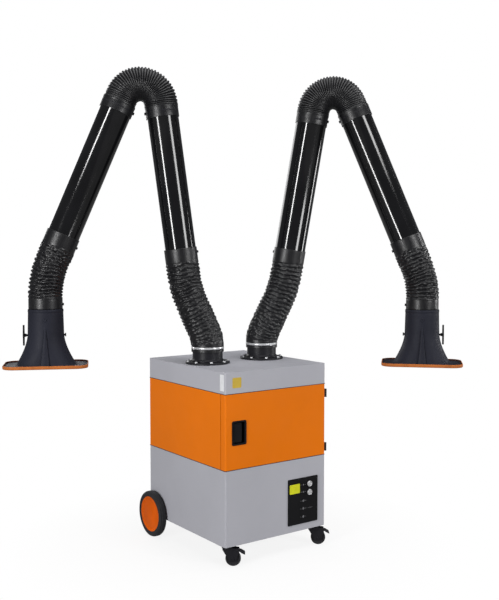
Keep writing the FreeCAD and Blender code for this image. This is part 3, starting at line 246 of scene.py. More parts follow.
def powder_coat(name, colour, roughness=0.42):
    """Baked paint on sheet steel: orange peel, faint clouds, rubbed and dusty patches."""
    made = Finish(name, roughness)
    clouds = made.patches((2.3, 4, 0.6), 0.3, 0.7)
    paint = made.blend(clouds, shade(colour, 0.95), shade(colour, 1.03))
    scuffs = made.patches((9, 8, 0.72, (1, 1, 2.2)), 0.62, 0.78, 0.35)
    paint = made.blend(scuffs, paint, shade(colour, 0.86))
    made.colour(made.blend(worn_edges(made, 0.0016), paint, shade(colour, 1.22)))
    made.roughen(made.noise(14, 5, 0.6), roughness - 0.06, roughness + 0.1)
    made.soften_edges(0.0022)
    made.bump(made.noise(520, 2, 0.5), 0.00012, 0.5)
    made.bump(made.noise(3.5, 2, 0.4), 0.0035, 0.25)
    made.constant(Specular_IOR_Level=0.22)
    return made.material


def worn_edges(made, radius):
    """1 along the edges of the shape, 0 on its faces, broken up by a noise."""
    bevel = made.add("ShaderNodeBevel", samples=4)
    bevel.inputs["Radius"].default_value = radius
    surface = made.add("ShaderNodeNewGeometry")
    product = made.add("ShaderNodeVectorMath", operation="DOT_PRODUCT")
    made.link(bevel.outputs["Normal"], product.inputs[0])
    made.link(surface.outputs["Normal"], product.inputs[1])
    edge = made.spread(product.outputs["Value"], 0.985, 0.85, 0, 1)
    patches = made.spread(made.noise(38, 5, 0.65), 0.42, 0.62, 0.1, 0.8)
    return made.product(edge, patches)


def moulded(name, colour, roughness=0.5, grain=900.0, depth=0.00008, gloss=0.3):
    """Moulded plastic: spark-eroded grain, slight flow marks and a lighter, rubbed edge."""
    made = Finish(name, roughness)
    flow = made.patches((7, 5, 0.62, (1, 1, 0.45)), 0.3, 0.7)
    body = made.blend(flow, shade(colour, 0.82), shade(colour, 1.18))
    dust = made.patches((55, 9, 0.75), 0.6, 0.8, 0.10)
    body = made.blend(dust, body, (0.10, 0.097, 0.095))
    made.colour(made.blend(worn_edges(made, 0.0012), body, shade(colour, 1.9)))
    made.roughen(made.noise(26, 6, 0.6), roughness - 0.07, roughness + 0.1)
    made.soften_edges(0.0014)
    made.bump(made.cells(grain), depth, 0.6)
    made.bump(made.noise(30, 3, 0.5), 0.0006, 0.2)
    made.constant(Specular_IOR_Level=gloss)
    return made.material


def coated_fabric(name, colour):
    """Plastic-coated hose fabric: a fine weave under a slightly shiny skin, dusty in its folds."""
    made = Finish(name, 0.46, coords="UV")
    clouds = made.patches((5, 5, 0.62, (9, 1, 1)), 0.3, 0.7)
    cloth = made.blend(clouds, shade(colour, 0.7), shade(colour, 1.3))
    dust = made.patches((24, 8, 0.7, (5, 1, 1)), 0.6, 0.8, 0.10)
    made.colour(made.blend(dust, cloth, (0.07, 0.068, 0.066)))
    made.roughen(made.noise(20, 4, 0.5, (6, 1, 1)), 0.30, 0.46)
    weave = made.product(made.bands(64, "X"), made.bands(150, "Y"))
    made.bump(weave, 0.00022, 0.15)
    made.bump(made.noise(42, 4, 0.5, (10, 1.6, 1)), 0.0009, 0.25)
    made.constant(Sheen_Weight=0.03, Sheen_Roughness=0.4, Specular_IOR_Level=0.5)
    return made.material


def lacquered_tube(name):
    """Black gloss lacquer on drawn tube: almost a mirror, with drawing lines, wipe marks and dust."""
    made = Finish(name, 0.12)
    clouds = made.patches((5, 4, 0.6), 0.3, 0.7)
    lacquer = made.blend(clouds, (0.0035, 0.0035, 0.004), (0.0075, 0.0075, 0.0085))
    dust = made.patches((170, 9, 0.8), 0.66, 0.85, 0.08)
    made.colour(made.blend(dust, lacquer, (0.06, 0.06, 0.06)))
    made.roughen(made.noise(11, 6, 0.65, (1, 1, 0.2)), 0.07, 0.17)
    made.bump(made.noise(90, 3, 0.5, (1, 1, 0.02)), 0.00025, 0.22)
    made.constant(Coat_Weight=0.12, Coat_Roughness=0.06)
    return made.material


def rubber(name, colour, roughness=0.72):
    """Cured rubber: fine grain, a grey bloom, and scuffs that dull it."""
    made = Finish(name, roughness)
    bloom = made.patches((16, 6, 0.68), 0.35, 0.7)
    body = made.blend(bloom, shade(colour, 0.75), shade(colour, 1.35))
    scuffs = made.patches((85, 7, 0.75), 0.6, 0.78, 0.3)
    made.colour(made.blend(scuffs, body, (0.09, 0.087, 0.085)))
    made.roughen(made.noise(30, 5, 0.6), roughness - 0.1, roughness + 0.12)
    made.bump(made.noise(700, 3, 0.6), 0.00018, 0.6)
    made.bump(made.noise(60, 4, 0.55), 0.0005, 0.3)
    made.constant(Sheen_Weight=0.05, Sheen_Roughness=0.5, Specular_IOR_Level=0.35)
    return made.material


def strip_with_painted_channel_shade(name, bright, channel_shade_and_smear):
    """Orange rubber strip: bright at its thin edge, and painted shade, a dark red-brown, in its channel
    (v of the UV map).
    """
    made = Finish(name, 0.36, coords="UV")
    across = made.add("ShaderNodeSeparateXYZ")
    made.link(made.coords, across.inputs[0])
    # Painted shade: across v the strip's colour goes to a dark red-brown in its channel.
    tone = made.blend(made.spread(across.outputs[1], 0.35, 0.75, 0, 1), bright, channel_shade_and_smear)
    smears = made.patches((34, 7, 0.7, (6, 1, 1)), 0.45, 0.72, 0.5)
    made.colour(made.blend(smears, tone, shade(channel_shade_and_smear, 0.8)))
    made.roughen(made.noise(60, 5, 0.6, (8, 1, 1)), 0.26, 0.5)
    made.bump(made.noise(90, 4, 0.6, (12, 1, 1)), 0.0005, 0.4)
    made.constant(Specular_IOR_Level=0.05)
    return made.material


def bright_metal(name, colour, roughness=0.24, stretch=(1, 1, 0.03)):
    """Plated or brushed steel: fine lines one way, stains and slight tarnish."""
    made = Finish(name, roughness, METAL_SHARE)
    stains = made.patches((30, 6, 0.65), 0.35, 0.72)
    made.colour(made.blend(stains, colour, shade(colour, 0.72)))
    lines = made.noise(420, 3, 0.6, stretch)
    made.roughen(lines, roughness - 0.08, roughness + 0.14)
    made.bump(lines, 0.00006, 0.5)
    return made.material


def filter_paper(name):
    """Non-woven filter paper: matt fibres with grey dust caught in them."""
    made = Finish(name, 0.92)
    dust = made.patches((12, 7, 0.7), 0.4, 0.75)
    made.colour(made.blend(dust, (0.80, 0.79, 0.74), (0.42, 0.41, 0.39)))
    made.roughen(made.noise(300, 4, 0.6), 0.82, 0.98)
    made.bump(made.noise(850, 6, 0.7), 0.0004, 0.7)
    made.constant(Sheen_Weight=0.2)
    return made.material


def printed_film(name, colour, roughness=0.3):
    """Printed film or glazing: even colour with small wipe marks."""
    made = Finish(name, roughness)
    clouds = made.patches((40, 5, 0.6), 0.3, 0.7)
    made.colour(made.blend(clouds, shade(colour, 0.9), shade(colour, 1.06)))
    made.roughen(made.noise(70, 6, 0.65), roughness - 0.08, roughness + 0.12)
    made.bump(made.noise(500, 2, 0.5), 0.00005, 0.3)
    return made.material


def backlit(name, colour, strength):
    """A lit display: the film glows a little, brighter in cloudy patches."""
    made = Finish(name, 0.22)
    clouds = made.patches((25, 3, 0.5), 0.3, 0.7)
    glow = made.blend(clouds, shade(colour, 0.88), shade(colour, 1.08))
    made.colour(glow)
    made.link(glow, made.shader.inputs["Emission Color"])
    made.roughen(made.noise(90, 5, 0.6), 0.14, 0.3)
    made.bump(made.noise(400, 2, 0.5), 0.00004, 0.3)
    made.constant(Emission_Strength=strength, Coat_Weight=0.5, Coat_Roughness=0.08)
    return made.material


GREY = (0.450, 0.450, 0.490)
ORANGE = (0.84, 0.186, 0.0)

# Each material: its name, the function that makes it, and what that function is given.
MATERIAL_LIST = (
    ("cabinet_grey", powder_coat, GREY),
    ("cabinet_orange", powder_coat, ORANGE, 0.36),
    ("disc_orange", moulded, (0.70, 0.105, 0.0), 0.42, 1400, 0.00003, 0.15),
    # The lip strip's channel is painted in shade, a dark red-brown.
    ("lip_orange", strip_with_painted_channel_shade, (0.50, 0.155, 0.040), (0.055, 0.014, 0.006)),
    ("duct_black", lacquered_tube),
    ("black_metal", powder_coat, (0.0125, 0.0125, 0.0155), 0.4),
    ("zinc", bright_metal, (0.74, 0.745, 0.76)),
    ("motor_grey", powder_coat, (0.19, 0.21, 0.24), 0.5),
    ("hose_black", coated_fabric, (0.0045, 0.0045, 0.0058)),
    ("hood_black", moulded, (0.0185, 0.0195, 0.0285), 0.55, 700, 0.0001, 0.12),
    ("black_plastic", moulded, (0.0060, 0.0060, 0.0070), 0.48, 900.0, 0.00008, 0.14),
    ("tyre_black", rubber, (0.017, 0.017, 0.020)),
    # The seal strips' dark rubber, which also paints the shade in the cabinet's joints.
    ("seal_black", rubber, (0.02, 0.02, 0.02), 0.85),
    ("filter_white", filter_paper),
    ("lens", backlit, (0.62, 0.63, 0.01), 0.12),
    ("bright_key", bright_metal, (0.86, 0.86, 0.87), 0.2, (1, 1, 1)),
    ("dim_lamp", printed_film, (0.16, 0.16, 0.17), 0.25),
    ("pale_print", printed_film, (0.20, 0.20, 0.21), 0.4),
    ("white_film", printed_film, (0.80, 0.81, 0.83), 0.35),
    ("yellow_film", printed_film, (0.62, 0.43, 0.05), 0.35),
)
MATERIALS = {name: make(name, *values) for name, make, *values in MATERIAL_LIST}


def finish(piece, material):
    piece.data.materials.append(MATERIALS[material])
    return piece


def dress_cad_nodes():
    """Every CAD node takes the procedural material of its own slot in the record."""
    for part in frame["record"]["subparts"]:
        body = NODES[part["node"]].data
        body.materials.clear()
        body.materials.append(MATERIALS[part["material_slot"]])


# ---------------------------------------------------------------- mesh helpers


def add_object(name, data):
    made = bpy.data.objects.new(name, data)
    bpy.context.scene.collection.objects.link(made)
    return made


def smooth_faces(piece):
    piece.data.polygons.foreach_set("use_smooth", [True] * len(piece.data.polygons))


def smooth_by_angle(piece, degrees=40):
    smooth_faces(piece)
    piece.data.set_sharp_from_angle(angle=math.radians(degrees))


def turns(count):
    """That many angles, evenly round a circle."""
    return [2 * math.pi * i / count for i in range(count)]


def quads(low, high):
    """The faces between two rings of corners, which are vertices or their numbers."""
    count = len(low)
    return [(low[i], low[(i + 1) % count], high[(i + 1) % count], high[i]) for i in range(count)]


def tube_from_rings(name, rings, lengths, material):
    """An open tube through rings of points. Its texture runs round by u and along by v, in metres."""
    count = len(rings[0])
    rows = [range(i * count, (i + 1) * count) for i in range(len(rings))]
    faces, corners = [], []
    for i in range(len(rings) - 1):
        faces += quads(rows[i], rows[i + 1])
        low, high = lengths[i], lengths[i + 1]
        for j in range(count):
            u, v = j / count, (j + 1) / count
            corners += [(u, low), (v, low), (v, high), (u, high)]
    mesh = bpy.data.meshes.new(name)
    mesh.from_pydata([tuple(point) for ring in rings for point in ring], [], faces)
    layer = mesh.uv_layers.new(name="UVMap")
    for place, corner in zip(layer.data, corners):
        place.uv = corner
    mesh.update()
    piece = add_object(name, mesh)
    smooth_faces(piece)
    return finish(piece, material)


def thicken(piece, wall):
    """Gives an open tube its wall, inwards."""
    solid = piece.modifiers.new("wall", "SOLIDIFY")
    solid.thickness = wall
    solid.offset = -1
    return piece


# ---------------------------------------------------------------- the arms' own geometry


def box_middle(node):
    low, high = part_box(node)
    return (low + high) / 2


class Arm:
    """One arm's plane, pivots and tube lines, read from the joints and from the tubes' boxes."""

    def __init__(self, side):
        self.side = side
        names = ("swivel", "shoulder", "wrist", "hood_turn")
        pivots = [Vector(JOINTS[f"{name}_{side}"]["pos_m"]) for name in names]
        self.base, self.shoulder, self.wrist, self.hood = pivots
        self.across = Vector(JOINTS[f"shoulder_{side}"]["axis"]).normalized()
        self.out = self.across.cross(UP).normalized()
        lower, upper = box_middle(f"lower_tube_{side}"), box_middle(f"upper_tube_{side}")
        reach = lower - self.shoulder
        offset = math.asin(LOWER_OFFSET / reach.length)
        self.rising = (Matrix.Rotation(-offset, 3, self.across) @ reach).normalized()
        self.falling = (self.wrist - upper).normalized()
        rise, fall = self.rising * TUBE_LENGTH / 2, self.falling * TUBE_LENGTH / 2
        self.lower_foot, self.lower_head = lower - rise, lower + rise
        self.upper_head, self.upper_foot = upper - fall, upper + fall


class Path:
    """A line in an arm's plane, sampled evenly, with its direction at each point."""

    def __init__(self, arm, start, direction):
        self.arm = arm
        self.points, self.tangents, self.lengths = [start.copy()], [direction.normalized()], [0.0]

    def step(self, point, tangent):
        self.lengths.append(self.lengths[-1] + (point - self.points[-1]).length)
        self.points.append(point)
        self.tangents.append(tangent.normalized())

    def run(self, length):
        start, tangent = self.points[-1], self.tangents[-1]
        count = max(1, round(length / PATH_STEP))
        for i in range(1, count + 1):
            self.step(start + tangent * (length * i / count), tangent)

    def turn(self, radius, angle):
        """An arc that turns from up towards out."""
        start, tangent = self.points[-1], self.tangents[-1]
        centre = start + self.sideways(tangent) * radius
        count = max(2, round(radius * angle / PATH_STEP))
        for i in range(1, count + 1):
            turned = Matrix.Rotation(angle * i / count, 3, self.arm.across)
            self.step(centre + turned @ (start - centre), turned @ tangent)

    def ease(self, end, direction, first_pull, last_pull):
        """A cubic curve to end, which it reaches along direction."""
        start, tangent = self.points[-1], self.tangents[-1]
        controls = (start, start + tangent * first_pull, end - direction * last_pull, end)
        count = max(2, round((end - start).length / PATH_STEP))
        for i in range(1, count + 1):
            t = i / count
            self.step(cubic(controls, t), cubic_direction(controls, t))

    def sideways(self, tangent):
        """The in-plane normal, on the side that a rising path turns to when it bends outwards."""
        return self.arm.across.cross(tangent)

    def at(self, length):
        """The point and direction at a length, between two samples."""
        length = min(max(length, 0.0), self.lengths[-1])
        i = bisect(self.lengths, length, 1, len(self.lengths) - 1)
        low, high = self.lengths[i - 1], self.lengths[i]
        share = (length - low) / (high - low)
        tangent = self.tangents[i - 1].lerp(self.tangents[i], share).normalized()
        return self.points[i - 1].lerp(self.points[i], share), tangent

    def ring(self, length, radius):
        """Points round the path. radius is a function of length and angle; angle 0 is across."""
        point, tangent = self.at(length)
        side = self.sideways(tangent)
        made = []
        for angle in turns(ROUND_STEPS):
            spoke = self.arm.across * math.cos(angle) + side * math.sin(angle)
            made.append(point + spoke * radius(length, angle))
        return made


def even(radius):
    """A plain round skin, for Path.ring."""
    return lambda length, angle: radius


def cubic(controls, t):
    a, b, c, d = controls
    return a * (1 - t) ** 3 + b * 3 * t * (1 - t) ** 2 + c * 3 * t * t * (1 - t) + d * t ** 3


def cubic_direction(controls, t):
    a, b, c, d = controls
    return (b - a) * (1 - t) ** 2 + (c - b) * 2 * t * (1 - t) + (d - c) * t * t


def smooth(value, low, high):
    share = min(1.0, max(0.0, (value - low) / (high - low)))
    return share * share * (3 - 2 * share)


def crumple(length, angle, along, around, seed):
    """Smooth noise from -1 to 1 on a hose's skin, with its own scale along the hose and round it."""
    return noise.noise((math.cos(angle) * around + seed, math.sin(angle) * around, length * along))


def ridged(length, angle, along, around, seed):
    """Noise with sharp crests like creased cloth, from about -1 to 0.5."""
    return 0.5 - 2.2 * abs(crumple(length, angle, along, around, seed))


def swept(name, path, first, last, radius, step=PATH_STEP):
    """A hose skin from one length of the path to another."""
    count = max(2, round((last - first) / step))
    lengths = [first + (last - first) * i / count for i in range(count + 1)]
    rings = [path.ring(length, radius) for length in lengths]
    return thicken(tube_from_rings(name, rings, lengths, "hose_black"), HOSE_WALL)


# ---------------------------------------------------------------- hoses


def spiral_skin(pitch, first, last, seed, depth, calm):
    """The radius of a wire-spiral hose: smooth cuffs, and between them ribs and creased cloth.

    calm is the length over which the ribs grow from slack, wrinkled cloth to their full depth.
    """

    def radius(length, angle):
        loose = smooth(length, first, first + 0.03) * (1 - smooth(length, last - 0.03, last))
        tight = smooth(length, first, first + calm)
        wander = 0.55 * crumple(length, angle, 11, 1.3, seed)
        wander += 0.22 * crumple(length, angle, 34, 3.0, seed + 9)
        rib = 0.5 + 0.5 * math.cos(2 * math.pi * (length / pitch + angle / (2 * math.pi) + wander))
        fullness = 0.72 + 0.55 * crumple(length, angle, 17, 1.6, seed + 21)
        sag = depth * (0.35 + 0.65 * tight) * fullness * (1 - rib ** 1.6)
        folds = 0.0040 * ridged(length, angle, 55, 3.6, seed + 7)
        fine = 0.0022 * ridged(length, angle, 110, 8.0, seed + 3)
        bulge = 0.0028 * crumple(length, angle, 9, 0.9, seed + 13)
        cloth = 0.0012 * rib - sag + bulge + (folds + fine) * (1.3 - 0.6 * tight)
        return CUFF_RADIUS + loose * min(cloth, 0.0032)

    return radius


def lower_hose(arm):
    """Collar to lower tube, past the shoulder pivot."""
    start = arm.base + UP * COLLAR_OVERLAP
    path = Path(arm, start, UP)
    path.run(0.032)
    path.ease(arm.lower_foot - arm.rising * STRAIGHT_BELOW_TUBE, arm.rising, 0.070, 0.125)
    path.run(STRAIGHT_BELOW_TUBE + CUFF_LENGTH)
    total = path.lengths[-1]
    seed = 1.7 if arm.side == "left" else 4.9
    skin = spiral_skin(LOWER_PITCH, 0.030, total - 0.062, seed, depth=0.0066, calm=0.24)
    hose = swept(f"lower_hose_skin_{arm.side}", path, 0.0, total, skin)
    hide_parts(f"lower_hose_{arm.side}")
    turret, lower_arm = f"turret_{arm.side}", f"lower_arm_{arm.side}"
    path.at(0.040)[0]
    path.at(total - 0.070)[0]
    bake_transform(hose)
    band(arm, path, total - 0.026, "lower_cuff_band", lower_arm, -1)
    base_clamp(arm, path)


def elbow_path(arm):
    """Straight over the lower tube, one round bend, straight over the upper tube."""
    right = arm.across.cross(arm.rising)
    inward = arm.across.cross(arm.falling)
    first = arm.lower_head.dot(right) + ELBOW_RADIUS
    second = arm.upper_head.dot(inward) + ELBOW_RADIUS
    share = right.dot(inward)
    spread = 1 - share * share
    level = arm.lower_head.dot(arm.across)
    centre = right * ((first - share * second) / spread) + inward * ((second - share * first) / spread)
    centre += arm.across * level
    rise = (centre - arm.lower_head).dot(arm.rising)
    fall = (arm.upper_head - centre).dot(arm.falling)
    path = Path(arm, arm.lower_head - arm.rising * CUFF_LENGTH, arm.rising)
    path.run(CUFF_LENGTH + rise)
    path.turn(ELBOW_RADIUS, arm.rising.angle(arm.falling))
    path.run(CUFF_LENGTH + fall)
    return path


def cuff_skin(seed, bead):
    """The radius of a smooth cuff with shallow creases and one raised bead."""

    def radius(length, angle):
        creases = 0.0005 * crumple(length, angle, 60, 2.5, seed)
        return CUFF_RADIUS + creases + 0.0012 * math.exp(-(((length - bead) / 0.003) ** 2))

    return radius


def rib_skin(centre, pitch, height, slack, seed):
    """The radius of one rib: a wire bead on a peak of cloth, with valleys on both sides."""

    def radius(length, angle):
        away = abs(length - centre) / pitch
        peak = max(0.0, 1 - away / 0.5) ** 1.25
        creases = crumple(centre, angle, 120, 4.5, seed) * 0.9 + crumple(length, angle, 200, 9, seed)
        return RIB_VALLEY + height * peak + slack * creases * (1 - 0.4 * peak)

    return radius


def elbow_hose(arm):
    """Ribbed bellows: each rib is a piece of its own."""
    path = elbow_path(arm)
    total = path.lengths[-1]
    lower_body, upper_body = f"lower_arm_{arm.side}", f"upper_arm_{arm.side}"
    first, last = ELBOW_CUFF, total - ELBOW_CUFF
    seed = 2.3 if arm.side == "left" else 8.1
    count = round((last - first) / ELBOW_PITCH)
    pitch = (last - first) / count
    for i in range(count):
        share = (i + 0.5) / count
        centre = first + pitch * (i + 0.5)
        soft = smooth(share, 0.60, 0.96)
        height = (RIB_CREST - RIB_VALLEY) * (1 - 0.45 * soft) * (0.93 + 0.07 * math.sin(i * 2.4 + seed))
        skin = rib_skin(centre, pitch, height, 0.0007 + 0.0013 * soft, seed + i * 0.37)
        name = f"elbow_rib_{arm.side}_{i + 1:02d}"
        low, high = centre - RIB_REACH * pitch, centre + RIB_REACH * pitch
        rib = swept(name, path, low, high, skin, pitch / 9)
        point, tangent = path.at(centre)
        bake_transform(rib)
        if i == 0:
            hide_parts(f"elbow_hose_{arm.side}")
    for name, low, high, body in (
        ("elbow_cuff_lower", 0.0, first + 0.002, lower_body),
        ("elbow_cuff_upper", last - 0.002, total, upper_body),
    ):
        bead = high - 0.006 if body == lower_body else low + 0.006
        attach(swept(f"{name}_{arm.side}", path, low, high, cuff_skin(seed, bead)), body)
        band(arm, path, (low + high) / 2, f"{name}_band", body, 1)


def wrist_hose(arm):
    """Upper tube to hood, past the wrist pivot."""
    turn = arm.falling.angle(-UP)
    tangent_long = WRIST_RADIUS * math.tan(turn / 2)
    start = arm.upper_foot - arm.falling * CUFF_LENGTH
    path = Path(arm, start, arm.falling)
    path.run((arm.wrist - start).length - tangent_long)
    path.turn(WRIST_RADIUS, turn)
    path.run(HOSE_BELOW_WRIST - tangent_long)
    total = path.lengths[-1]
    seed = 3.1 if arm.side == "left" else 6.4
    skin = spiral_skin(WRIST_PITCH, CUFF_LENGTH + 0.004, total - 0.040, seed, depth=0.0078, calm=0.17)
    hose = swept(f"wrist_hose_skin_{arm.side}", path, 0.0, total, skin)
    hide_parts(f"wrist_hose_{arm.side}")
    upper_body, wrist_body = f"upper_arm_{arm.side}", f"wrist_{arm.side}"
    path.at(CUFF_LENGTH + 0.010)[0]
    path.at(total - 0.045)[0]
    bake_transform(hose)
    band(arm, path, 0.040, "wrist_cuff_upper_band", upper_body, 1)
    band(arm, path, total - 0.020, "wrist_cuff_lower_band", wrist_body, 1)


def strap(path, length, name, body, outward, material, proud):
    """A strap clamp round a cuff, with its worm-screw case on the side that outward points to."""
    flat = STRAP_HALF - 0.0008
    profile = ((-STRAP_HALF, 0.0), (-flat, 0.0012), (flat, 0.0012), (STRAP_HALF, 0.0))
    rings, lengths = [], []
    for offset, lift in profile:
        rings.append(path.ring(length + offset, even(CUFF_RADIUS + proud + lift)))
        lengths.append(length + offset)
    loop = thicken(tube_from_rings(name, rings, lengths, material), STRAP_WALL)
    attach(loop, body)
    point, tangent = path.at(length)
    seat = point + outward * (CUFF_RADIUS + proud + STRAP_WALL)
    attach(worm_case(f"{name}_screw", seat, outward, tangent, material), body)
    return loop


def band(arm, path, length, name, body, side):
    """A black strap clamp with its screw on the inner or outer side of the arm's bend."""
    outward = path.sideways(path.at(length)[1]) * side
    strap(path, length, f"{name}_{arm.side}", body, outward, "black_metal", 0.0006)


def base_clamp(arm, path):
    """The bright clamp that holds the lower hose on its collar; its screw faces left or forwards."""
    outward = Vector((-1, 0, 0)) if arm.side == "left" else Vector((0, -1, 0))
    name, body = f"base_clamp_strap_{arm.side}", f"turret_{arm.side}"
    loop = strap(path, CLAMP_LENGTH, name, body, outward, "zinc", 0.0016)
    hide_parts(f"base_clamp_{arm.side}")


def duct(arm, part, start, along, body):
    """A drawn tube with rounded ends and a rolled bead under each hose cuff."""
    path = Path(arm, start, along)
    path.run(TUBE_LENGTH)
    end = [(0.0, -0.0008), (0.0008, 0.0), (TUBE_BEAD - 0.003, 0.0), (TUBE_BEAD - 0.001, 0.0006)]
    end += [(TUBE_BEAD + 0.001, 0.0006), (TUBE_BEAD + 0.003, 0.0)]
    stations = end + [(TUBE_LENGTH - place, lift) for place, lift in reversed(end)]
    rings = [path.ring(place, even(TUBE_RADIUS + lift)) for place, lift in stations]
    places = [place for place, _lift in stations]
    tube = tube_from_rings(f"{part}_drawn_{arm.side}", rings, places, "duct_black")
    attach(thicken(tube, TUBE_WALL), f"{body}_{arm.side}")
    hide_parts(f"{part}_{arm.side}")


def worm_case(name, seat, outward, tangent, material):
    """The screw case of a strap clamp: an arched housing, the screw barrel through it and its head."""
    mesh = bmesh.new()
    arch = [(-0.0075, 0.0), (0.0075, 0.0)] + arc(0.0072, 0.0062, 0.0012, range(0, 181, 20))
    prism(mesh, arch, -0.0062, 0.0062, lambda x, y, z: (x, y, z))
    for radius, step, low, high in ((0.0036, 60, 0.0068, 0.0128), (0.0024, 24, -0.0095, 0.0070)):
        circle = arc(radius, radius, SCREW_LIFT, range(0, 360, step))
        prism(mesh, circle, low, high, lambda z, y, x: (x, y, z))
    placed = Matrix((outward.cross(tangent), outward, tangent)).transposed().to_4x4()
    placed.translation = seat
    bmesh.ops.transform(mesh, matrix=placed, verts=mesh.verts)
    return bevelled(from_bmesh(name, mesh, material), 0.0004)


def arc(half_width, height, lift, degrees):
    """Points at those angles of an ellipse whose middle is lift above the origin."""
    angles = [math.radians(degree) for degree in degrees]
    return [(half_width * math.cos(a), lift + height * math.sin(a)) for a in angles]


def prism(mesh, outline, low, high, place):
    """An outline drawn out from one level to another. place makes a point of x, y and a level."""
    bottom, top = ([mesh.verts.new(place(x, y, level)) for x, y in outline] for level in (low, high))
    mesh.faces.new(reversed(bottom))
    mesh.faces.new(top)
    join_rings(mesh, (bottom, top))


def join_rings(mesh, rings):
    """Adds the faces between each ring of vertices and the next."""
    for low, high in zip(rings, rings[1:]):
        for face in quads(low, high):
            mesh.faces.new(face)


def from_bmesh(name, mesh, material):
    bmesh.ops.recalc_face_normals(mesh, faces=mesh.faces)
    data = bpy.data.meshes.new(name)
    mesh.to_mesh(data)
    mesh.free()
    return finish(add_object(name, data), material)


def bevelled(piece, width):
    bevel = piece.modifiers.new("edges", "BEVEL")
    bevel.width = width
    bevel.segments = 2
    bevel.limit_method = "ANGLE"
    bevel.angle_limit = math.radians(35)
    return piece


# ---------------------------------------------------------------- hoods


class HoodFrame:
    """The hood's own frame: its mouth's centre, its long way, its short way and up."""

    def __init__(self, arm):
        self.origin = arm.hood - UP * HOOD_BELOW_JOINT
        self.long, self.wide = arm.out, arm.across

    def put(self, x, y, z):
        return self.origin + self.long * x + self.wide * y + UP * z

    def rounded(self, level, half_long, half_wide, corner):
        """A rounded rectangle at a level, or a circle where the corner takes all of it."""
        shares = [(i + 0.5) / CORNER_STEPS for i in range(CORNER_STEPS)]
        outline = round_corners(half_long, half_wide, corner, shares)
        return [self.put(x, y, level) for x, y in outline]


def round_corners(half_x, half_y, radius, shares):
    """A rounded rectangle, anticlockwise, with a point at each of those shares of every corner."""
    points = []
    for corner, (sx, sy) in enumerate(((1, 1), (-1, 1), (-1, -1), (1, -1))):
        for share in shares:
            angle = math.radians(90 * (corner + share))
            x = sx * (half_x - radius) + radius * math.cos(angle)
            points.append((x, sy * (half_y - radius) + radius * math.sin(angle)))
    return points


def hood_sections():
    """Level, half length, half width and corner radius, from the neck's bead to the flange's edge."""
    sections = [(0.285, 0.0822, 0.0822, 0.0822), (0.283, 0.0838, 0.0838, 0.0838)]
    sections += [(0.274, 0.0842, 0.0842, 0.0842), (0.272, 0.0826, 0.0826, 0.0826)]
    steps = 26
    for i in range(steps + 1):
        share = i / steps
        level = 0.270 - 0.258 * share
        spread = max(0.0, (share - 0.42) / 0.58) ** 1.75
        neck = 0.0828 + 0.0065 * share
        half_long = neck + (0.142 - neck) * spread
        half_wide = neck + (0.109 - neck) * spread
        sections.append((level, half_long, half_wide, min(half_long, half_wide) * (1 - 0.14 * spread)))
    sections += [(0.0085, 0.150, 0.1125, 0.078), (0.0070, 0.172, 0.117, 0.068)]
    sections += [(0.0066, 0.1965, 0.1215, 0.0545), (0.0055, 0.1985, 0.1235, 0.0555)]
    return sections


def hood_shell(arm):
    """Moulded hood: a slightly tapered neck that flares to the flange, with a mould seam and two fins."""
    place = HoodFrame(arm)
    rings = [place.rounded(*section) for section in hood_sections()]
    lengths = [section[0] for section in hood_sections()]
    shell = tube_from_rings(f"hood_shell_{arm.side}", rings, lengths, "hood_black")
    thicken(shell, 0.0028)
    body = f"hood_{arm.side}"
    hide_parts(f"hood_{arm.side}")
    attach(shell, body)
    for face, word in ((1, "front"), (-1, "back")):
        hood_fin(place, face, f"hood_fin_{word}_{arm.side}", body)
        hood_boss(place, face, f"hood_boss_{word}_{arm.side}", body)
    for end, word in ((1, "outer"), (-1, "inner")):
        mould_seam(place, end, f"hood_seam_{word}_{arm.side}", body)


def half_sizes_at(level):
    """Half the hood's width and half its length at a level, between its sections."""
    sections = hood_sections()
    for above, below in zip(sections, sections[1:]):
        if below[0] <= level <= above[0]:
            share = (above[0] - level) / (above[0] - below[0])
            return tuple(above[k] + (below[k] - above[k]) * share for k in (2, 1))
    return sections[-1][2], sections[-1][1]


def hood_fin(place, face, name, body):
    """Hollow fin down the middle of a wide side: a point high on the neck, a broad foot on the flange."""
    steps = 22
    rings = []
    for i in range(steps + 1):
        share = i / steps
        level = 0.218 - 0.2055 * share
        wall = half_sizes_at(level)[0]
        half = 0.0022 + 0.0195 * share ** 1.3
        proud = 0.0008 + 0.0075 * smooth(share, 0.0, 0.25) + 0.004 * share
        outline = ((-half - 0.003, -0.004), (-half, proud * 0.82), (-half + 0.0025, proud))
        outline += ((half - 0.0025, proud), (half, proud * 0.82), (half + 0.003, -0.004))
        rings.append([place.put(x, face * (wall + y), level) for x, y in outline])
    strip(name, rings, "hood_black", body)


def hood_boss(place, face, name, body):
    """Round boss high on the neck, with a dimple in its middle."""
    wall = half_sizes_at(0.206)[0]
    profile = ((0.0095, -0.004), (0.0092, 0.0034), (0.0082, 0.0044))
    profile += ((0.0048, 0.0046), (0.0038, 0.0036), (0.0004, 0.0033))
    rings = []
    for radius, lift in profile:
        circle = [(radius * math.cos(a), BOSS_LEVEL + radius * math.sin(a)) for a in turns(32)]
        rings.append([place.put(x, face * (wall + lift), z) for x, z in circle])
    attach(tube_from_rings(name, rings, [0] * len(rings), "hood_black"), body)


def mould_seam(place, end, name, body):
    """Low ridge where the two halves of the mould met, down the hood's narrow side."""
    rings = []
    for i in range(40):
        level = 0.268 - 0.254 * i / 39
        wall = half_sizes_at(level)[1]
        outline = ((-0.0016, -0.0012), (-0.0006, 0.0007), (0.0006, 0.0007), (0.0016, -0.0012))
        rings.append([place.put(end * (wall + lift), across, level) for across, lift in outline])
    strip(name, rings, "hood_black", body)


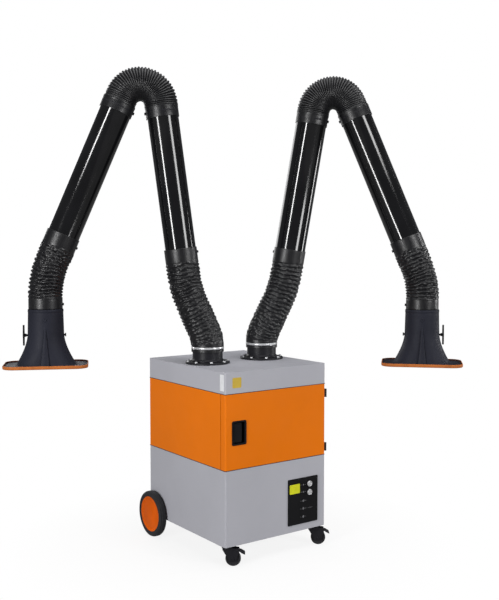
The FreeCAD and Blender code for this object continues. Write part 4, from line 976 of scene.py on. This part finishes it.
def strip(name, rings, material, body):
    """A closed bar through open outlines that all have the same number of points."""
    mesh = bmesh.new()
    made = [[mesh.verts.new(point) for point in ring] for ring in rings]
    mesh.faces.new(made[0])
    mesh.faces.new(reversed(made[-1]))
    join_rings(mesh, made)
    piece = from_bmesh(name, mesh, material)
    smooth_by_angle(piece)
    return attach(piece, body)


def hood_lip(arm):
    """Rubber strip clipped over the flange's edge: a rounded outer wall and a channel inside it."""
    place = HoodFrame(arm)
    profile = ((0.0520, 0.0074), (0.0120, 0.0076), (0.0066, 0.0084), (0.0046, 0.0110), (0.0038, 0.0152))
    profile += ((0.0026, 0.0166), (0.0012, 0.0166), (0.0002, 0.0150), (0.0, 0.0120), (0.0, 0.0040))
    profile += ((0.0007, 0.0016), (0.0026, 0.0002), (0.0100, 0.0), (0.0125, 0.0012), (0.0125, 0.0035))
    rings, lengths = [], []
    for inset, level in profile:
        corner = max(0.020, LIP_CORNER - inset)
        rings.append(place.rounded(level, MOUTH_LONG - inset, MOUTH_WIDE - inset, corner))
        # v is 1 on the channel's floor and the inside of its wall, where lip_orange paints shade, and 0.2
        # elsewhere.
        lengths.append(1.0 if inset > 0.003 and level > 0.006 else 0.2)
    lip = tube_from_rings(f"hood_lip_strip_{arm.side}", rings, lengths, "lip_orange")
    smooth_by_angle(lip, 60)
    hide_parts(f"hood_lip_{arm.side}")
    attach(lip, f"hood_{arm.side}")


# ---------------------------------------------------------------- trim


def rounded_outline(width, height, radius):
    """A small rounded rectangle about the origin."""
    return round_corners(width / 2, height / 2, radius, [i / 5 for i in range(6)])


def label(name, centre, right, size, corner, thickness, material):
    """A thin rounded plate. centre is on its upright face, and right is a reader's right."""
    outward = right.cross(UP)
    mesh = bmesh.new()
    outline = rounded_outline(*size, corner)
    prism(mesh, outline, 0, thickness, lambda x, z, away: centre + right * x + UP * z + outward * away)
    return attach(bevelled(from_bmesh(name, mesh, material), thickness * 0.35), "cabinet")


def bezel(name, centre, inner, outer, depth, material):
    """A turned ring on the control panel, with a rounded lip. centre lies on the panel's face."""
    profile = ((inner, 0.0), (inner, depth * 0.75), (inner + (outer - inner) * 0.3, depth))
    profile += ((inner + (outer - inner) * 0.7, depth), (outer, depth * 0.55), (outer, 0.0))
    mesh = bmesh.new()
    rings = [[mesh.verts.new(point) for point in panel_ring(centre, *step, 48)] for step in profile]
    join_rings(mesh, rings + rings[:1])
    piece = from_bmesh(name, mesh, material)
    smooth_faces(piece)
    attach(piece, "cabinet")


def dome(name, centre, radius, height, material):
    """A small lens that stands out of the control panel. It stops just short of its own middle."""
    rings = []
    for i in range(9):
        angle = math.radians(90 * i / 8.2)
        rings.append(panel_ring(centre, radius * math.cos(angle), height * math.sin(angle), 36))
    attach(tube_from_rings(name, rings, [0] * len(rings), material), "cabinet")


def panel_ring(centre, radius, lift, count):
    """A ring of points in front of a place on the control panel."""
    return [centre + Vector((radius * math.cos(a), -lift, radius * math.sin(a))) for a in turns(count)]


def panel_trim():
    """The panel's bezels, display and lamps, and short plain dashes in place of the symbols."""
    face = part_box("control_panel")[0].y
    middle = box_middle("control_panel")
    middle.y = face
    right = Vector((1, 0, 0))
    for key in ("start_button", "stop_button"):
        centre = box_middle(key)
        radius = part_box(key)[1].x - centre.x
        centre.y = face
        bezel(f"{key}_bezel", centre, radius + 0.0006, radius + 0.0034, 0.0042, "zinc")
    window = middle + Vector((DISPLAY[0], 0.0018, DISPLAY[1]))
    glass = label("display_window", window, right, (0.0645, 0.0475), 0.003, 0.0016, "lens")
    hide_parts("panel_lenses")
    for name, x, z, radius in PANEL_LAMPS:
        spot = middle + Vector((x, 0, z))
        bezel(f"{name}_rim", spot, radius, radius + 0.0016, 0.0014, "black_plastic")
        dome(f"{name}_dome", spot, radius, 0.0022, "dim_lamp")
        for side in (-1, 1):
            dash = spot + Vector((side * (radius + 0.0085), 0, 0))
            dash_name = f"{name}_dash_{'left' if side < 0 else 'right'}"
            label(dash_name, dash, right, (0.007, 0.0016), 0.0005, PRINT_THICKNESS, "pale_print")


def seal_and_joint_shade(name, below):
    """Dark foam strip squeezed out of the joint on top of a shell, all the way round. Its dark line also
    stands in for the joint's shadow: painted shade.
    """
    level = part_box(below)[1].z
    shell_low, shell_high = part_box("lower_housing")
    middle = box_middle("lower_housing")
    width, depth = shell_high.x - shell_low.x, shell_high.y - shell_low.y
    outer = rounded_outline(width + 2 * SEAL_PROUD, depth + 2 * SEAL_PROUD, 0.003)
    inner = rounded_outline(width - SEAL_DEPTH, depth - SEAL_DEPTH, 0.002)
    bottom, top = level - SEAL_HEIGHT / 2, level + SEAL_HEIGHT / 2
    mesh = bmesh.new()
    rings = []
    for points, height in ((outer, bottom), (outer, top), (inner, top), (inner, bottom)):
        rings.append([mesh.verts.new((middle.x + x, middle.y + y, height)) for x, y in points])
    join_rings(mesh, rings + rings[:1])
    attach(from_bmesh(name, mesh, "seal_black"), "cabinet")


def stickers():
    """Two blank stickers near the top cover's front corner."""
    low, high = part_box("top_cover")
    level = (low.z + high.z) / 2
    front = Vector((low.x + 0.068, low.y, level))
    right = Vector((1, 0, 0))
    label("square_sticker", front, right, (0.052, 0.050), 0.006, PRINT_THICKNESS, "yellow_film")
    edge = Vector((low.x, low.y + 0.026, level + 0.002))
    backwards = Vector((0, -1, 0))
    label("edge_sticker", edge, backwards, (0.034, 0.078), 0.003, PRINT_THICKNESS, "white_film")


# ---------------------------------------------------------------- studio


def floor():
    """Pale floor that catches the shadow near the object and turns into the white of the background."""
    corners = [(x * FLOOR_HALF, y * FLOOR_HALF, 0) for x, y in ((-1, -1), (1, -1), (1, 1), (-1, 1))]
    mesh = bpy.data.meshes.new("floor")
    mesh.from_pydata(corners, [], [(0, 1, 2, 3)])
    made = Finish("floor_paint", 0.7)
    clouds = made.patches((0.8, 3), 0.3, 0.7)
    made.colour(made.blend(clouds, (0.88, 0.88, 0.88), (0.91, 0.91, 0.91)))
    made.constant(Specular_IOR_Level=0.1)
    reach = made.add("ShaderNodeVectorMath", operation="LENGTH")
    made.link(made.coords, reach.inputs[0])
    seen = made.add("ShaderNodeLightPath").outputs["Is Camera Ray"]
    white = made.add("ShaderNodeEmission")
    made.link(made.spread(seen, 0, 1, FLOOR_GLOW, 1.0), white.inputs["Strength"])
    mix = made.add("ShaderNodeMixShader")
    made.link(made.spread(reach.outputs["Value"], 0.40, 1.20, 0.86, 1.0), mix.inputs[0])
    made.link(made.shader.outputs[0], mix.inputs[1])
    made.link(white.outputs[0], mix.inputs[2])
    made.link(mix.outputs[0], made.tree.nodes["Material Output"].inputs["Surface"])
    mesh.materials.append(made.material)
    add_object("floor", mesh)


def world():
    """White to the camera, and a darker room for what the object reflects."""
    made = bpy.data.worlds.new("studio")
    made.use_nodes = True
    tree = made.node_tree
    tree.nodes.clear()
    path = tree.nodes.new("ShaderNodeLightPath")
    mix = tree.nodes.new("ShaderNodeMixShader")
    out = tree.nodes.new("ShaderNodeOutputWorld")
    tree.links.new(path.outputs["Is Camera Ray"], mix.inputs[0])
    for socket, colour, strength in ((1, (0.93, 0.95, 1.0, 1), ROOM_LIGHT), (2, (1, 1, 1, 1), 1.0)):
        light = tree.nodes.new("ShaderNodeBackground")
        light.inputs["Color"].default_value = colour
        light.inputs["Strength"].default_value = strength
        tree.links.new(light.outputs[0], mix.inputs[socket])
    tree.links.new(mix.outputs[0], out.inputs["Surface"])
    bpy.context.scene.world = made


def softbox(name, place, target, width, height, power):
    light = bpy.data.lights.new(name, "AREA")
    light.shape = "RECTANGLE"
    light.size, light.size_y = width, height
    light.energy = power
    lamp = add_object(name, light)
    lamp.location = place
    lamp.rotation_euler = (Vector(target) - Vector(place)).to_track_quat("-Z", "Y").to_euler()


def studio():
    world()
    floor()
    middle = (0, 0, 1.1)
    softbox("overhead", (0, -0.4, 4.6), (0, 0, 1), 4.0, 4.0, 104)
    softbox("front_key", (1.4, -5.2, 2.6), middle, 1.4, 2.4, 132)
    softbox("left_strip", (-5.0, -1.6, 1.8), middle, 0.5, 3.4, 190)
    softbox("right_strip", (4.6, -1.8, 1.8), middle, 0.45, 3.4, 70)
    softbox("back_fill", (0.5, 5.2, 2.6), middle, 3.0, 2.4, 50)


def camera():
    data = bpy.data.cameras.new("camera")
    data.sensor_width = 36.0
    data.lens = 52.66
    data.clip_end = 100
    eye = add_object("camera", data)
    eye.location = (-2.622, -3.746, 1.523)
    eye.rotation_euler = (math.radians(90 - 3.27), 0, math.radians(-35.93))
    bpy.context.scene.camera = eye


# ---------------------------------------------------------------- making

camera()
studio()
dress_cad_nodes()
for arm in [Arm(side) for side in SIDES]:
    lower_hose(arm)
    elbow_hose(arm)
    wrist_hose(arm)
    duct(arm, "lower_tube", arm.lower_foot, arm.rising, "lower_arm")
    duct(arm, "upper_tube", arm.upper_head, arm.falling, "upper_arm")
    hood_shell(arm)
    hood_lip(arm)
panel_trim()
# The seal strips also paint the shade in the joints between the shells.
seal_and_joint_shade("cover_seal_and_shade", "filter_chamber")
seal_and_joint_shade("base_seal_and_shade", "lower_housing")
stickers()

view = bpy.context.scene.view_settings
view.view_transform = "Standard"
view.look = "None"
